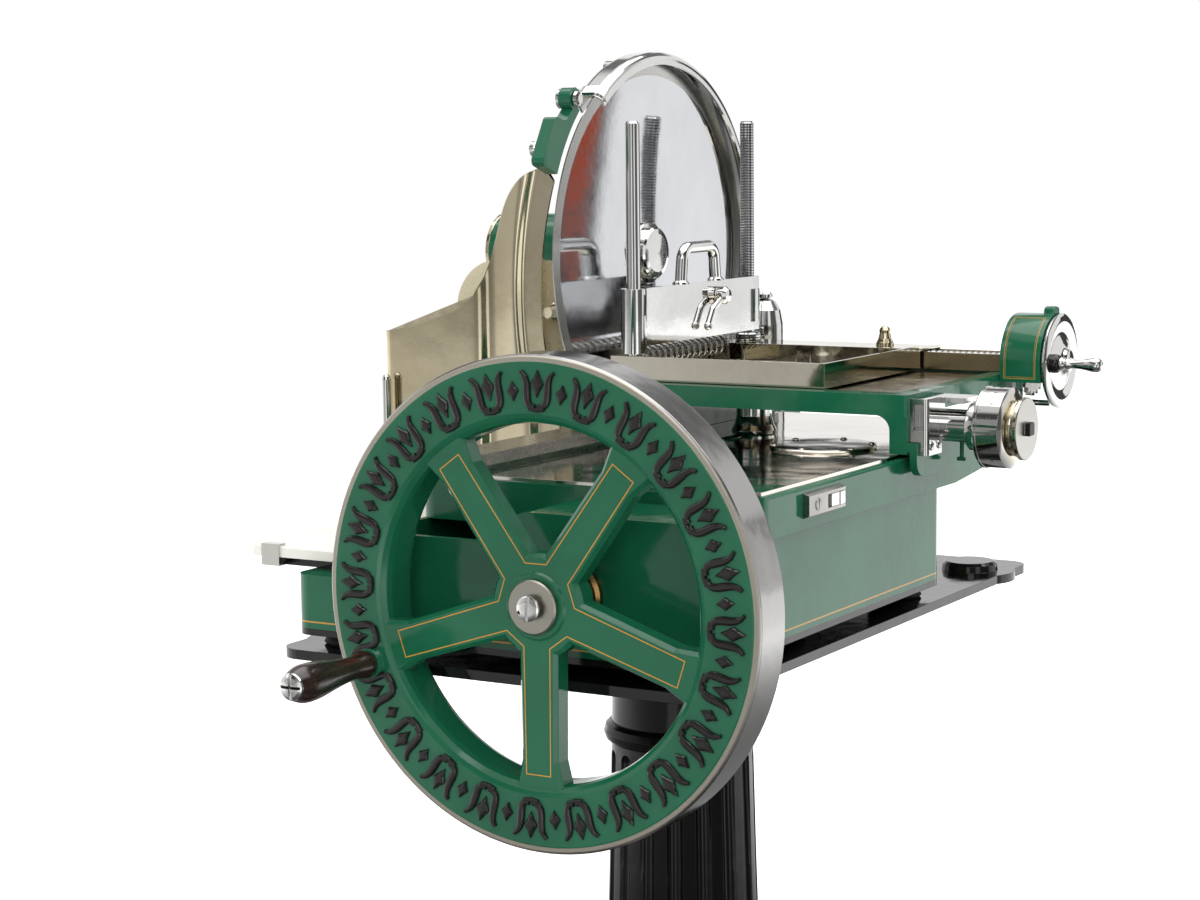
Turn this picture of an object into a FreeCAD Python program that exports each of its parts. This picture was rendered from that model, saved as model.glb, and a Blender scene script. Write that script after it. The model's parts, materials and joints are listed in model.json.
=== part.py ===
import FreeCAD, Part
import math
import os

# A hand cranked flywheel meat slicer on a cast column.
# Origin: centre of the pedestal foot, on the floor.  +Z is up, +Y runs from the flywheel to the back,
# +X points from the blade towards the meat carriage.  Lengths are in millimetres.

os.makedirs("parts", exist_ok=True)

V = FreeCAD.Vector
AXIS = {"X": V(1, 0, 0), "Y": V(0, 1, 0), "Z": V(0, 0, 1)}

# ---------------------------------------------------------------- driving dimensions
running_gap = 0.05          # radial clearance of a shaft in its bore
slide_gap = 0.35            # clearance between sliding or facing parts of different bodies
wall = 6.0                  # wall of the iron castings
sheet = 2.5                 # nickel plated sheet

wheel_z = 851.0             # the flywheel's axis above the floor; the whole machine hangs on it

# pedestal
foot_radius = 235.0
foot_height = 118.0
column_foot_radius = 84.0
column_top_radius = 59.5
flute_count = 16
flute_radius = 7.5
ring_height = 676.0
plate_bottom = wheel_z - 71.0
plate_thickness = 8.0
plate_half_width = 194.0
plate_front = -322.0
plate_back = 333.0
plate_lobe_radius = 42.0

# base castings
base_left = -184.0
base_right = 186.0
base_front = -310.0
base_back = 138.0
base_gap = 10.0             # height of the rubber feet
base_tail_right = -22.0     # the part of the base under the blade reaches further back
base_tail_back = 300.0
shelf_height = 49.0         # low shelf left of the blade, above the underside of the base
lower_height = 88.0         # lower casting under the deck
hood_height = 113.0         # hood over the front bearing
hood_left = 12.0
hood_radius = 28.0
deck_height = 34.5
deck_left = -118.0
deck_right = 193.0
deck_front = -229.0
deck_back = 300.0
deck_plate_thickness = 3.0
deck_plate_left = -58.0
access_x = 109.0            # round opening over the crank gear, and its cover
access_y = 58.0
access_radius = 38.0
slot_half_width = 11.0      # slot in the deck for the pin that drives the carriage
slot_margin = 12.0
corner_radius = 14.0

# flywheel
wheel_x = 78.0
wheel_face_y = -364.5
wheel_radius = 185.0
wheel_face_radius = 180.0
wheel_rim_depth = 40.0
wheel_opening_radius = 134.0
spoke_count = 5
spoke_width = 33.0
spoke_depth = 20.0
web_radius = 39.0           # flat web between the roots of the spokes
hub_radius = 27.0
main_shaft_radius = 11.0
hub_plate_radius = 20.5
hub_plate_thickness = 5.0
handle_radius = 159.0
handle_angle = 200.6
grip_length = 93.0
grip_radius = 14.5
spindle_radius = 5.0
front_cap_radius = 26.0

# carriage drive: bevel pinion, crank gear, crank arm, connecting rod
module = 3.0
pinion_teeth = 21
crank_teeth = 63
crank_y = -110.0
face_width = 16.0
backlash = 0.32
crank_throw = 88.0
crank_pin_radius = 7.0
rod_thickness = 8.0
lug_x = 8.0
lug_y = 125.0
crank_rest = 90.0           # the crank arm points straight back at rest
arm_bottom = wheel_z + 37.0
arm_thickness = 9.0

# knife drive: second pinion, a bevel pair of equal gears, chain
cross_teeth = 20
cross_module = 2.5
cross_face = 12.0
chain_pitch = 12.7
chain_links = 52
drive_sprocket_teeth = 18
knife_sprocket_teeth = 9
roller_radius = 3.9
chain_x = -163.0

# knife
knife_x = -129.0
knife_y = 185.0
knife_z = wheel_z + 231.0
knife_radius = 180.0
knife_edge_thickness = 1.2
knife_dish = 7.0
knife_shaft_radius = 10.0
drum_radius = 37.0
drum_end_x = -290.0
bracket_right = -149.0
bracket_foot = 9.0
bracket_left = -182.0
neck_low_radius = 50.0
neck_seat_z = wheel_z + 29.0
bush_radius = 16.0
guard_radius = 188.0
guard_half_width = 14.0
guard_wall = 2.4
guard_corner = 8.0
guard_start = -50.0          # degrees about the knife's axis, from straight back towards the top
guard_sweep = 179.0
guard_arm_angles = (78.0, 4.0)
sharpener_angle = 144.0
sharpener_x = -137.0
sharpener_half = 6.0
stone_radius = 10.0
stone_pin_radius = 3.5

# carriage
stroke = 2 * crank_throw
carriage_front = 36.0
carriage_back = 312.0
carriage_left = -112.0
carriage_right = 197.0
frame_top = wheel_z + 123.0
frame_depth = 18.0
bar_width = 18.0
leg_width = 16.0
leg_depth = 74.0
rail_width = 40.0
rail_height = 12.0
rail_x = -88.0
hook_left = 199.6
hook_thickness = 6.6
hook_length = 96.0
index_pin_radius = 4.2
hook_bottom = wheel_z + 54.0

# meat table and clamp
table_left = -100.0
table_right = 112.0
table_front = 54.0
table_back = 309.0
table_top = wheel_z + 145.0
pan_depth = 15.0
strip_front = 260.0
strip_under = wheel_z + 140.0
post_x = -81.0
post_a_y = 63.5
post_b_y = 286.0
post_radius = 6.5
post_top = wheel_z + 354.0
clamp_height = 52.0
clamp_top = wheel_z + 205.0
clamp_x = -75.0
sleeve_radius = 11.8
spring_radius = 8.0
spring_wire = 1.6
spring_turns = 14
spring_x = -87.0
spring_z = wheel_z + 142.0
spring_front = 83.0
spring_back = 240.0
rack_pitch = 2.6
rack_depth = 2.2
rack_low = wheel_z + 161.0
bail_radius = 5.6
lever_y = 208.0
lever_z = wheel_z + 191.0

# thickness dial and feed crank
dial_y = 76.0
dial_z = wheel_z + 95.0
dial_radius = 34.0
dial_start = 240.0
dial_flutes = 6
feed_y = 284.0
feed_z = wheel_z + 133.5
feed_drum_radius = 43.0
feed_screw_radius = 6.0
feed_thread_pitch = 6.0
feed_drum_end = 236.0
feed_handle_radius = 30.0
trough_left = -60.0
trough_front = 265.0
trough_back = 303.0

# receiving slab and deflector
slab_left = -243.0
slab_right = -150.0
slab_front = -290.0
slab_back = 14.0
slab_thickness = 9.0
deflector_left = -332.0
deflector_y = 27.0
deflector_rises = ((0, 163), (40, 169.5), (70, 179), (92, 189), (108, 205), (119, 233), (129, 263),
                   (142, 292), (160, 310), (180, 316))   # top edge: from its left end, above the axis
rear_plate_y = 60.0
rear_plate_left = -269.0
rear_plate_top = wheel_z + 229.0
rear_plate_shoulder = 43.0
sheet_right = -146.0        # right edge of the deflector and of the plate behind it
edge_bar_left = -334.0
edge_pin_x = -322.0
edge_pin_radius = 4.6
edge_pin_length = 120.4
spacer_low = wheel_z + 89.0
spacer_high = wheel_z + 183.0
spacer_x = -157.0
pillar_x = -95.0
pillar_y = 351.0
pillar_radius = 23.0
latch_front = -154.0
latch_z = wheel_z + 54.0

# ---------------------------------------------------------------- derived places
plate_top = plate_bottom + plate_thickness
base_bottom = plate_top + base_gap
shelf_top = base_bottom + shelf_height
lower_top = base_bottom + lower_height
hood_top = base_bottom + hood_height
deck_under = lower_top
deck_top = deck_under + deck_height
deck_plate_top = deck_top + deck_plate_thickness
pinion_radius = module * pinion_teeth / 2
crank_radius = module * crank_teeth / 2
gear_plane_z = wheel_z - pinion_radius
first_mesh_y = crank_y - crank_radius
second_mesh_y = crank_y + crank_radius
rod_bottom = arm_bottom + arm_thickness + 1.0
floor_z = base_bottom + wall
small_shaft_radius = main_shaft_radius - 2
chain_gap_z = knife_z - wheel_z
drive_pitch_radius = chain_pitch / (2 * math.sin(math.pi / drive_sprocket_teeth))
knife_pitch_radius = chain_pitch / (2 * math.sin(math.pi / knife_sprocket_teeth))


# ---------------------------------------------------------------- small shape helpers
def save(name, shape):
    shape.exportStep("parts/" + name + ".step")


def box(x0, x1, y0, y1, z0, z1):
    return Part.makeBox(x1 - x0, y1 - y0, z1 - z0, V(x0, y0, z0))


def rod(axis, centre, radius, length):
    """A cylinder that starts at centre and runs along axis; a negative length runs backwards."""
    direction = AXIS[axis] * (1 if length > 0 else -1)
    return Part.makeCylinder(radius, abs(length), V(*centre), direction)


def tube(axis, centre, outer, inner, length):
    return rod(axis, centre, outer, length).cut(rod(axis, centre, inner, length))


def union(*shapes):
    return shapes[0].multiFuse(list(shapes[1:])).removeSplitter()


def cut(shape, *tools):
    for tool in tools:
        shape = shape.cut(tool)
    return shape


def on_plane(axis, u, v, w):
    """A point from two in-plane coordinates and the distance along the plane's normal."""
    if axis == "X":
        return V(w, u, v)
    if axis == "Y":
        return V(u, w, v)
    return V(u, v, w)


def outline(axis, corners, w, radii=0.0):
    """A closed wire through the corners, each rounded by a tangent arc of its own radius."""
    count = len(corners)
    if not isinstance(radii, (list, tuple)):
        radii = [radii] * count
    points = [V(c[0], c[1], 0) for c in corners]
    stations = []
    for i in range(count):
        before, here, after = points[i - 1], points[i], points[(i + 1) % count]
        to_before = (before - here).normalize()
        to_after = (after - here).normalize()
        turn = to_before.getAngle(to_after)
        radius = radii[i]
        if radius < 1e-6 or abs(turn - math.pi) < 1e-4:
            stations.append((here, None, here))
            continue
        reach = radius / math.tan(turn / 2)
        bisector = (to_before + to_after).normalize()
        centre = here + bisector * (radius / math.sin(turn / 2))
        middle = centre - bisector * radius
        stations.append((here + to_before * reach, middle, here + to_after * reach))
    edges = []

    def place(p):
        return on_plane(axis, p.x, p.y, w)

    for i in range(count):
        start, middle, end = stations[i]
        if middle is not None:
            edges.append(Part.Arc(place(start), place(middle), place(end)).toShape())
        following = stations[(i + 1) % count][0]
        if (following - end).Length > 1e-6:
            edges.append(Part.makeLine(place(end), place(following)))
    return Part.Wire(edges)


def prism(axis, corners, w0, w1, radii=0.0):
    face = Part.Face(outline(axis, corners, w0, radii))
    return face.extrude(AXIS[axis] * (w1 - w0))


def rectangle(u0, u1, v0, v1):
    return [(u0, v0), (u1, v0), (u1, v1), (u0, v1)]


def lathe(axis, centre, profile, smooth=False, angle=360.0, start=None):
    """Turns a profile of (distance along axis, radius) points about the axis through centre."""
    side = {"X": V(0, 1, 0), "Y": V(0, 0, 1), "Z": V(1, 0, 0)}[axis]
    points = [V(*centre) + AXIS[axis] * t + side * r for t, r in profile]
    if smooth:
        curve = Part.BSplineCurve()
        curve.interpolate(points)
        ends = [V(*centre) + AXIS[axis] * profile[i][0] for i in (0, -1)]
        edges = [curve.toShape()]
        if profile[-1][1] > 1e-6:
            edges.append(Part.makeLine(points[-1], ends[1]))
        edges.append(Part.makeLine(ends[1], ends[0]))
        if profile[0][1] > 1e-6:
            edges.append(Part.makeLine(ends[0], points[0]))
        face = Part.Face(Part.Wire(edges))
    else:
        face = Part.Face(Part.makePolygon(points + [points[0]]))
    if start is not None:
        face.rotate(V(*centre), AXIS[axis], start)
    return face.revolve(V(*centre), AXIS[axis], angle)


def turned(shape, axis, centre, degrees):
    copy = shape.copy()
    copy.rotate(V(*centre), AXIS[axis], degrees)
    return copy


def around(shape, axis, centre, count, first=0.0):
    return [turned(shape, axis, centre, first + i * 360.0 / count) for i in range(count)]


def polar(axis, centre, radius, degrees):
    """A point on a circle about the axis; 0 degrees is +Y for X, +X for Y and Z."""
    c, s = radius * math.cos(math.radians(degrees)), radius * math.sin(math.radians(degrees))
    x, y, z = centre
    if axis == "X":
        return (x, y + c, z + s)
    if axis == "Y":
        return (x + c, y, z + s)
    return (x + c, y + s, z)


def screw(axis, centre, head_radius, head_height, sign=1, shank=0.0, shank_radius=0.0):
    """A slotted dome-headed screw whose head stands on centre and points along sign * axis."""
    rise = head_height
    profile = [(0, 0), (0, head_radius), (sign * rise * 0.45, head_radius * 0.95),
               (sign * rise * 0.8, head_radius * 0.7), (sign * rise, head_radius * 0.3), (sign * rise, 0)]
    head = lathe(axis, centre, profile)
    slot_width = head_radius * 0.24
    x, y, z = centre
    reach = head_radius * 1.2
    low, high = rise * 0.55, rise * 1.2
    spans = {"X": (sorted((x + sign * low, x + sign * high)), (y - slot_width / 2, y + slot_width / 2),
                   (z - reach, z + reach)),
             "Y": ((x - slot_width / 2, x + slot_width / 2), sorted((y + sign * low, y + sign * high)),
                   (z - reach, z + reach)),
             "Z": ((x - slot_width / 2, x + slot_width / 2), (y - reach, y + reach),
                   sorted((z + sign * low, z + sign * high)))}
    (x0, x1), (y0, y1), (z0, z1) = spans[axis]
    head = head.cut(box(x0, x1, y0, y1, z0, z1))
    if shank > 0:
        head = head.fuse(rod(axis, centre, shank_radius, -sign * shank))
    return head


# ---------------------------------------------------------------- gears and sprockets
def tooth_half_width(height, teeth, size):
    """Half the thickness of an involute tooth at a height above its pitch line."""
    pressure = math.radians(20)
    pitch = size * teeth / 2
    base = pitch * math.cos(pressure)
    radius = pitch + height
    at = math.acos(min(1.0, base / radius))
    angle = math.pi / (2 * teeth) - backlash / (4 * pitch)
    angle += (math.tan(pressure) - pressure) - (math.tan(at) - at)
    return radius * math.sin(max(angle, 0.004))


def bevel_gear(teeth, mate_teeth, size, width, bore, hub_radius_, hub_length, web, phase):
    """A straight bevel gear for shafts at right angles.  Its axis is +Z, the apex of its pitch cone is
    the origin, and the gear lies on the +Z side.  phase turns it, in degrees."""
    cone = math.atan2(teeth, mate_teeth)
    outer = size * teeth / (2 * math.sin(cone))
    scale = (outer - width) / outer
    rim_land = 0.3 / outer
    addendum, dedendum = 0.85 * size, 1.12 * size
    virtual = teeth / math.cos(cone)

    def station(s, h):
        return s * math.sin(cone) + h * math.cos(cone), s * math.cos(cone) - h * math.sin(cone)

    heights = [-dedendum - 0.25, -0.45 * size, 0.0, 0.45 * size, addendum]

    def section(k):
        left, right = [], []
        for h in heights:
            half = tooth_half_width(max(h, -0.6 * size), virtual, size)
            if h < -0.6 * size:
                half += 0.1 * size
            r, z = station(outer, h)
            left.append(V(r * k, -half * k, z * k))
            right.append(V(r * k, half * k, z * k))
        ring = left + right[::-1]
        return Part.makePolygon(ring + [ring[0]])

    tooth = Part.makeLoft([section(1.0 - rim_land), section(scale + rim_land)], True, True)
    r_out, z_out = station(outer, -dedendum)
    r_in, z_in = r_out * scale, z_out * scale
    back = z_out + web
    profile = [(z_in, bore), (z_in, r_in), (z_out, r_out), (back, r_out - 0.2 * web), (back, hub_radius_),
               (back + hub_length, hub_radius_), (back + hub_length, bore)]
    body = lathe("Z", (0, 0, 0), profile)
    gear = body.multiFuse(around(tooth, "Z", (0, 0, 0), teeth, phase))
    return gear


def point_axis(shape, direction):
    """Turns a shape whose axis is +Z so that its axis points along direction."""
    shape = shape.copy()
    spin = FreeCAD.Rotation(V(0, 0, 1), V(*direction))
    shape.Placement = FreeCAD.Placement(V(0, 0, 0), spin).multiply(shape.Placement)
    return shape


def moved(shape, x, y, z):
    shape = shape.copy()
    shape.translate(V(x, y, z))
    return shape


# ================================================================ pedestal
def column_radius(z):
    """The column narrows from its foot to its top in a gentle curve."""
    share = max(0.0, min(1.0, (z - foot_height) / (plate_bottom - foot_height)))
    return column_foot_radius + (column_top_radius - column_foot_radius) * share ** 0.6


def make_foot():
    h = foot_height
    profile = [(0, 0), (0, foot_radius - 3), (4, foot_radius), (16, foot_radius), (20, foot_radius - 6),
               (26, foot_radius - 9), (36, foot_radius - 34), (52, foot_radius - 84),
               (70, foot_radius - 116), (h - 30, column_foot_radius + 20), (h - 22, column_foot_radius + 18),
               (h - 18, column_foot_radius + 12), (h - 6, column_foot_radius + 9),
               (h, column_foot_radius + 4), (h, 0)]
    return lathe("Z", (0, 0, 0), profile)


def make_column():
    top = plate_bottom
    steps = [foot_height + (top - foot_height) * i / 3 for i in range(4)]
    shaft = lathe("Z", (0, 0, 0), [(steps[0], 0)] + [(z, column_radius(z)) for z in steps] + [(top, 0)])
    flute_low, flute_high = foot_height + 34, ring_height - 22
    low_r, high_r = column_radius(flute_low), column_radius(flute_high)
    groove = Part.makeCone(flute_radius * low_r / high_r, flute_radius, flute_high - flute_low,
                           V(0, 0, 0), V(0, 0, 1))
    groove = groove.fuse(Part.makeSphere(flute_radius, V(0, 0, flute_high - flute_low)))
    lean = math.degrees(math.atan2(low_r - high_r, flute_high - flute_low))
    groove.rotate(V(0, 0, 0), V(0, 1, 0), -lean)
    groove.translate(V(low_r + 2.5, 0, flute_low))
    shaft = cut(shaft, *around(groove, "Z", (0, 0, 0), flute_count))
    r = column_radius(ring_height)
    ring = lathe("Z", (0, 0, 0), [(ring_height - 9, 0), (ring_height - 9, r + 1.5), (ring_height - 6, r + 5),
                                  (ring_height, r + 7), (ring_height + 6, r + 5), (ring_height + 9, r + 1.5),
                                  (ring_height + 9, 0)])
    head = lathe("Z", (0, 0, 0), [(top - 42, 0), (top - 42, column_top_radius + 2),
                                  (top - 26, column_top_radius + 6), (top - 12, column_top_radius + 17),
                                  (top, column_top_radius + 22), (top, 0)])
    column = union(shaft, ring, head)
    return column.cut(rod("Z", (0, 0, foot_height - 1), column_top_radius - 15, top - foot_height - 12))


def plate_lobes():
    """Centres of the four corner lobes of the mounting plate."""
    inset_x, inset_y = plate_half_width - 36, 62
    return [(sx * inset_x, y) for sx in (-1, 1) for y in (plate_front + inset_y, plate_back - inset_y)]


def make_plate():
    body = prism("Z", rectangle(-plate_half_width, plate_half_width, plate_front, plate_back), plate_bottom,
                 plate_top, 20)
    lobes = [rod("Z", (x, y, plate_bottom), plate_lobe_radius, plate_thickness) for x, y in plate_lobes()]
    bosses = [lathe("Z", (x, y, plate_top), [(0, 0), (0, 26), (6, 25), (8.5, 22), (8.5, 0)])
              for x, y in plate_lobes() if x > 0 and y > 0]
    plate = union(body, *(lobes + bosses))
    for x, y in stand_bolts():
        plate = plate.cut(rod("Z", (x, y, plate_bottom - 1), 5.2, plate_thickness + 2))
    return plate


def stand_bolts():
    r = column_top_radius - 16
    return [(r * math.cos(a), r * math.sin(a)) for a in (math.radians(45 + 90 * i) for i in range(4))]


def feet_places():
    return [(-150, base_front + 34), (152, base_front + 34), (152, base_back - 26),
            (-150, base_tail_back - 30)]


def make_feet():
    foot = [lathe("Z", (x, y, plate_top), [(0, 0), (0, 22), (2, 24), (base_gap - 2, 21), (base_gap, 20),
                                           (base_gap, 0)]) for x, y in feet_places()]
    return Part.makeCompound(foot)


save("pedestal_foot", make_foot())
save("pedestal_column", make_column())
save("mounting_plate", make_plate())
save("rubber_feet", make_feet())


# ================================================================ base castings
def drive_y():
    """Where the chain's driving shaft lies: the chain closes on a whole number of links."""
    low, high = chain_gap_z + 0.01, chain_gap_z * 1.4
    for _ in range(60):
        distance = (low + high) / 2
        if chain_pitches(distance) < chain_links:
            low = distance
        else:
            high = distance
    return knife_y - math.sqrt(distance ** 2 - chain_gap_z ** 2)


def chain_pitches(distance):
    lean = math.asin((drive_pitch_radius - knife_pitch_radius) / distance)
    on_drive = drive_sprocket_teeth * (math.pi + 2 * lean) / (2 * math.pi)
    on_knife = knife_sprocket_teeth * (math.pi - 2 * lean) / (2 * math.pi)
    return on_drive + on_knife + 2 * distance * math.cos(lean) / chain_pitch


cross_y = drive_y()
seat_front = cross_y - 58
seat_back = cross_y + 80


def base_blocks(inset, top_inset, low):
    """The tub's blocks; inset shrinks them sideways and top_inset from above."""
    i = inset
    right = prism("Z", rectangle(deck_left + 4 + i, base_right - i, base_front + i, base_back - i), low,
                  lower_top + (1 if inset else 0), max(corner_radius - i, 2))
    left = prism("Z", rectangle(base_left + i, -60, base_front + i, base_tail_back - i), low,
                 shelf_top - top_inset, max(corner_radius - i, 2))
    tail = prism("Z", rectangle(base_left + i, base_tail_right - i, 0, base_tail_back - i), low,
                 shelf_top - top_inset, max(corner_radius - i, 2))
    seat = prism("Z", rectangle(base_left + i, deck_left + 20 - i, seat_front + i, seat_back - i), low,
                 neck_seat_z - top_inset, 4)
    hood_corners = [(hood_left + i, low), (base_right - i, low), (base_right - i, hood_top - top_inset),
                    (hood_left + i, hood_top - top_inset)]
    hood = prism("Y", hood_corners, base_front + i, deck_front - (0 if inset else slide_gap),
                 [0, 0, max(16 - i, 4), max(hood_radius - i, 4)])
    return right.multiFuse([left, tail, seat, hood])


def make_base():
    tub = base_blocks(0, 0, base_bottom)
    hollow = base_blocks(wall, wall, base_bottom + wall)
    tub = tub.cut(hollow)
    shaft_eye = rod("Y", (wheel_x, base_front, wheel_z), 25, 44)
    tub = tub.fuse(shaft_eye)
    tub = cut(tub, rod("Y", (wheel_x, base_front - 1, wheel_z), main_shaft_radius + 5, 60))
    chain_way = box(chain_x - 11, chain_x + 10, cross_y - 38, cross_y + 58, neck_seat_z - wall - 1,
                    neck_seat_z + 1)
    mitre_room = rod("X", (wheel_x - 30, cross_y, wheel_z), cross_teeth * cross_module / 2 + 3.6, 34)
    return cut(tub, chain_way, mitre_room).removeSplitter()


def deck_profile(inset, low):
    """The deck casting in front view: the flat deck and the raised bed of the guide rail on its left."""
    i = inset
    return [(deck_left + i, low), (deck_right - i, low), (deck_right - i, deck_top - i),
            (deck_left + i, deck_top - i)]


def slot_corners():
    """Plan of the slot that the driving pin runs in."""
    return rectangle(lug_x - slot_half_width, lug_x + slot_half_width, lug_y - stroke - slot_margin,
                     lug_y + slot_margin)


def access_bore():
    return rod("Z", (access_x, access_y, deck_top - 12), access_radius, 20)


def make_deck():
    body = prism("Y", deck_profile(0, deck_under), deck_front, deck_back, [0, 0, 3, 7])
    taper = prism("X", [(base_back + 4, deck_under - 1), (deck_back + 1, deck_under - 1),
                        (deck_back + 1, deck_under + 14)], deck_left - 1, deck_right + 1)
    plan = prism("Z", rectangle(deck_left, deck_right, deck_front, deck_back), deck_under - 1,
                 deck_top + 1, 16)
    body = body.cut(taper).common(plan)
    hollow = prism("Y", deck_profile(wall, deck_under - 2), deck_front + wall, deck_back - wall, 2)
    shell = body.cut(hollow)
    slot = prism("Z", slot_corners(), deck_top - 12, deck_top + 1, 10)
    recess = box(deck_plate_left - slide_gap, deck_right - 3, deck_front + 3, deck_back - 3, deck_top - 0.6,
                 deck_top + 1)
    bracket = prism("Z", rectangle(deck_left + 3, rail_x + rail_width / 2 + 6, deck_back - 1, pillar_y + 24),
                    deck_under + 16, deck_top, [0, 0, 14, 14])
    return cut(shell, slot, access_bore(), recess).fuse(bracket).removeSplitter()


def make_deck_plate():
    body = prism("Z", rectangle(deck_plate_left, deck_right - 3.3, deck_front + 3.3, deck_back - 3.3),
                 deck_top - 0.6, deck_plate_top, 13)
    slot = prism("Z", slot_corners(), deck_top - 12, deck_plate_top + 1, 10)
    return cut(body, slot, access_bore())


def make_access_cover():
    r, lip, t = access_radius, access_radius + 9, 2.4
    cover = lathe("Z", (access_x, access_y, deck_plate_top), [(-9, 0), (-9, r - 4), (0, r - 4), (0, lip - 1),
                                                              (t - 0.8, lip), (t, lip - 1), (t, 0)])
    top = (access_x, access_y, deck_plate_top + t)
    screws = [screw("Z", polar("Z", top, r + 4, 30 + 60 * i), 3.2, 1.6) for i in range(6)]
    return union(cover, *screws)


def make_guide_rail():
    front, back = deck_front + 8, pillar_y - pillar_radius - 1
    foot = box(rail_x - 11, rail_x + 11, front, back, deck_top, deck_top + 7)
    head = box(rail_x - rail_width / 2, rail_x + rail_width / 2, front, back, deck_top + 7,
               deck_top + rail_height + 5)
    return union(foot, head)


save("base_casting", make_base())
save("deck_casting", make_deck())
save("deck_plate", make_deck_plate())
save("access_cover", make_access_cover())
save("guide_rail", make_guide_rail())


# ================================================================ flywheel
def wheel_place(radius, degrees, y):
    x, _, z = polar("Y", (wheel_x, 0, wheel_z), radius, degrees)
    return (x, y, z)


def make_flywheel():
    face = wheel_face_y
    back = face + wheel_rim_depth
    centre = (wheel_x, 0, wheel_z)
    inner = wheel_opening_radius
    rim = lathe("Y", centre, [
        (face + 5, inner + 1.2), (face + 1.6, inner + 4.5), (face, inner + 8), (face, wheel_face_radius - 1),
        (face + 0.8, wheel_face_radius), (face + 0.8, wheel_radius - 2), (face + 2.8, wheel_radius),
        (back - 2, wheel_radius), (back, wheel_radius - 2), (back, inner + 6), (back - 3, inner + 1.5),
        (back - 8, inner), (face + 10, inner)])
    hub = lathe("Y", centre, [(face + 0.5, 0), (face + 0.5, hub_radius - 3), (face + 4, hub_radius),
                              (face + 12, hub_radius + 4), (back - 6, hub_radius + 3),
                              (back + 2, hub_radius - 2), (back + 6, hub_radius - 4), (back + 6, 0)])
    half, flare = spoke_width / 2, 4.5
    reach = inner + 4

    def spoke_wire(y, inset):
        corners = [(0, half + 1 - inset), (hub_radius + 8, half - inset), (inner - 18, half - 1 - inset),
                   (reach, half + flare - inset)]
        corners += [(u, -v) for u, v in corners[::-1]]
        points = [V(wheel_x + u, y, wheel_z + v) for u, v in corners]
        return Part.makePolygon(points + [points[0]])

    front = face + 2.5
    bevel = Part.makeLoft([spoke_wire(front, 3.0), spoke_wire(front + 3.2, 0.0)], True, True)
    body = Part.Face(spoke_wire(front + 3.2, 0.0)).extrude(V(0, spoke_depth - 6.4, 0))
    rear = Part.makeLoft([spoke_wire(front + spoke_depth - 3.2, 0.0), spoke_wire(front + spoke_depth, 3.0)],
                         True, True)
    spoke = union(bevel, body, rear)
    spokes = around(spoke, "Y", centre, spoke_count, 90)
    back_face = front + spoke_depth
    web = lathe("Y", centre, [(front, 0), (front, web_radius - 3), (front + 3.2, web_radius),
                              (back_face - 3.2, web_radius), (back_face, web_radius - 3), (back_face, 0)])
    boss = lathe("Y", wheel_place(handle_radius, handle_angle, 0), [(face - 3.5, 0), (face - 3.5, 11),
                                                                    (face, 13), (face + 3, 14),
                                                                    (face + 3, 0)])
    wheel = rim.multiFuse([hub, boss, web] + spokes)
    wheel = wheel.cut(rod("Y", (wheel_x, face - 1, wheel_z), main_shaft_radius - 3, wheel_rim_depth + 20))
    wheel = wheel.cut(rod("Y", (wheel_x, face + 8, wheel_z), main_shaft_radius, wheel_rim_depth + 20))
    x, _, z = wheel_place(handle_radius, handle_angle, 0)
    wheel = wheel.cut(rod("Y", (x, face - 10, z), spindle_radius, 40))
    return wheel.removeSplitter()


def make_hub_plate():
    y = wheel_face_y + 0.5
    t = hub_plate_thickness
    plate = lathe("Y", (wheel_x, 0, wheel_z), [(y, 0), (y, hub_plate_radius - 0.8),
                                               (y - 0.8, hub_plate_radius),
                                               (y - t + 1.2, hub_plate_radius),
                                               (y - t, hub_plate_radius - 1.2), (y - t, 0)])
    return plate.fuse(screw("Y", (wheel_x, y - t, wheel_z), 7.2, 4.2, -1, t + 14, 4)).removeSplitter()


def make_main_shaft():
    front = wheel_face_y + 0.5
    shaft = rod("Y", (wheel_x, wheel_face_y + 8, wheel_z), main_shaft_radius,
                first_mesh_y + 12 - (wheel_face_y + 8))
    stub = rod("Y", (wheel_x, front, wheel_z), main_shaft_radius - 3, 12)
    collar = lathe("Y", (wheel_x, 0, wheel_z), [(base_front + 47, 0), (base_front + 47, 17),
                                                (base_front + 57, 17), (base_front + 57, 0)])
    shaft = union(shaft, stub, collar)
    return shaft.cut(rod("Y", (wheel_x, front - 1, wheel_z), 4, 17))


def make_spindle():
    x, _, z = wheel_place(handle_radius, handle_angle, 0)
    y = wheel_face_y + 30
    end = wheel_face_y - 3.5 - grip_length - 0.6
    pin = rod("Y", (x, y, z), spindle_radius, end - y)
    return pin.fuse(screw("Y", (x, end, z), 10.5, 3.6, -1))


def make_grip():
    x, _, z = wheel_place(handle_radius, handle_angle, 0)
    y = wheel_face_y - 3.5 - 0.3
    length = grip_length
    shape = [(0, 9.5), (-3, 10.6), (-0.09 * length, 10.4), (-0.18 * length, 9.2), (-0.33 * length, 9.6),
             (-0.5 * length, 11.4), (-0.67 * length, 13.6), (-0.8 * length, grip_radius),
             (-0.9 * length, grip_radius - 0.6), (-0.96 * length, grip_radius - 2.4),
             (-length, grip_radius - 4)]
    grip = lathe("Y", (x, y, z), shape, smooth=True)
    return grip.cut(rod("Y", (x, y + 2, z), spindle_radius + running_gap, -grip_length - 4))


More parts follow.
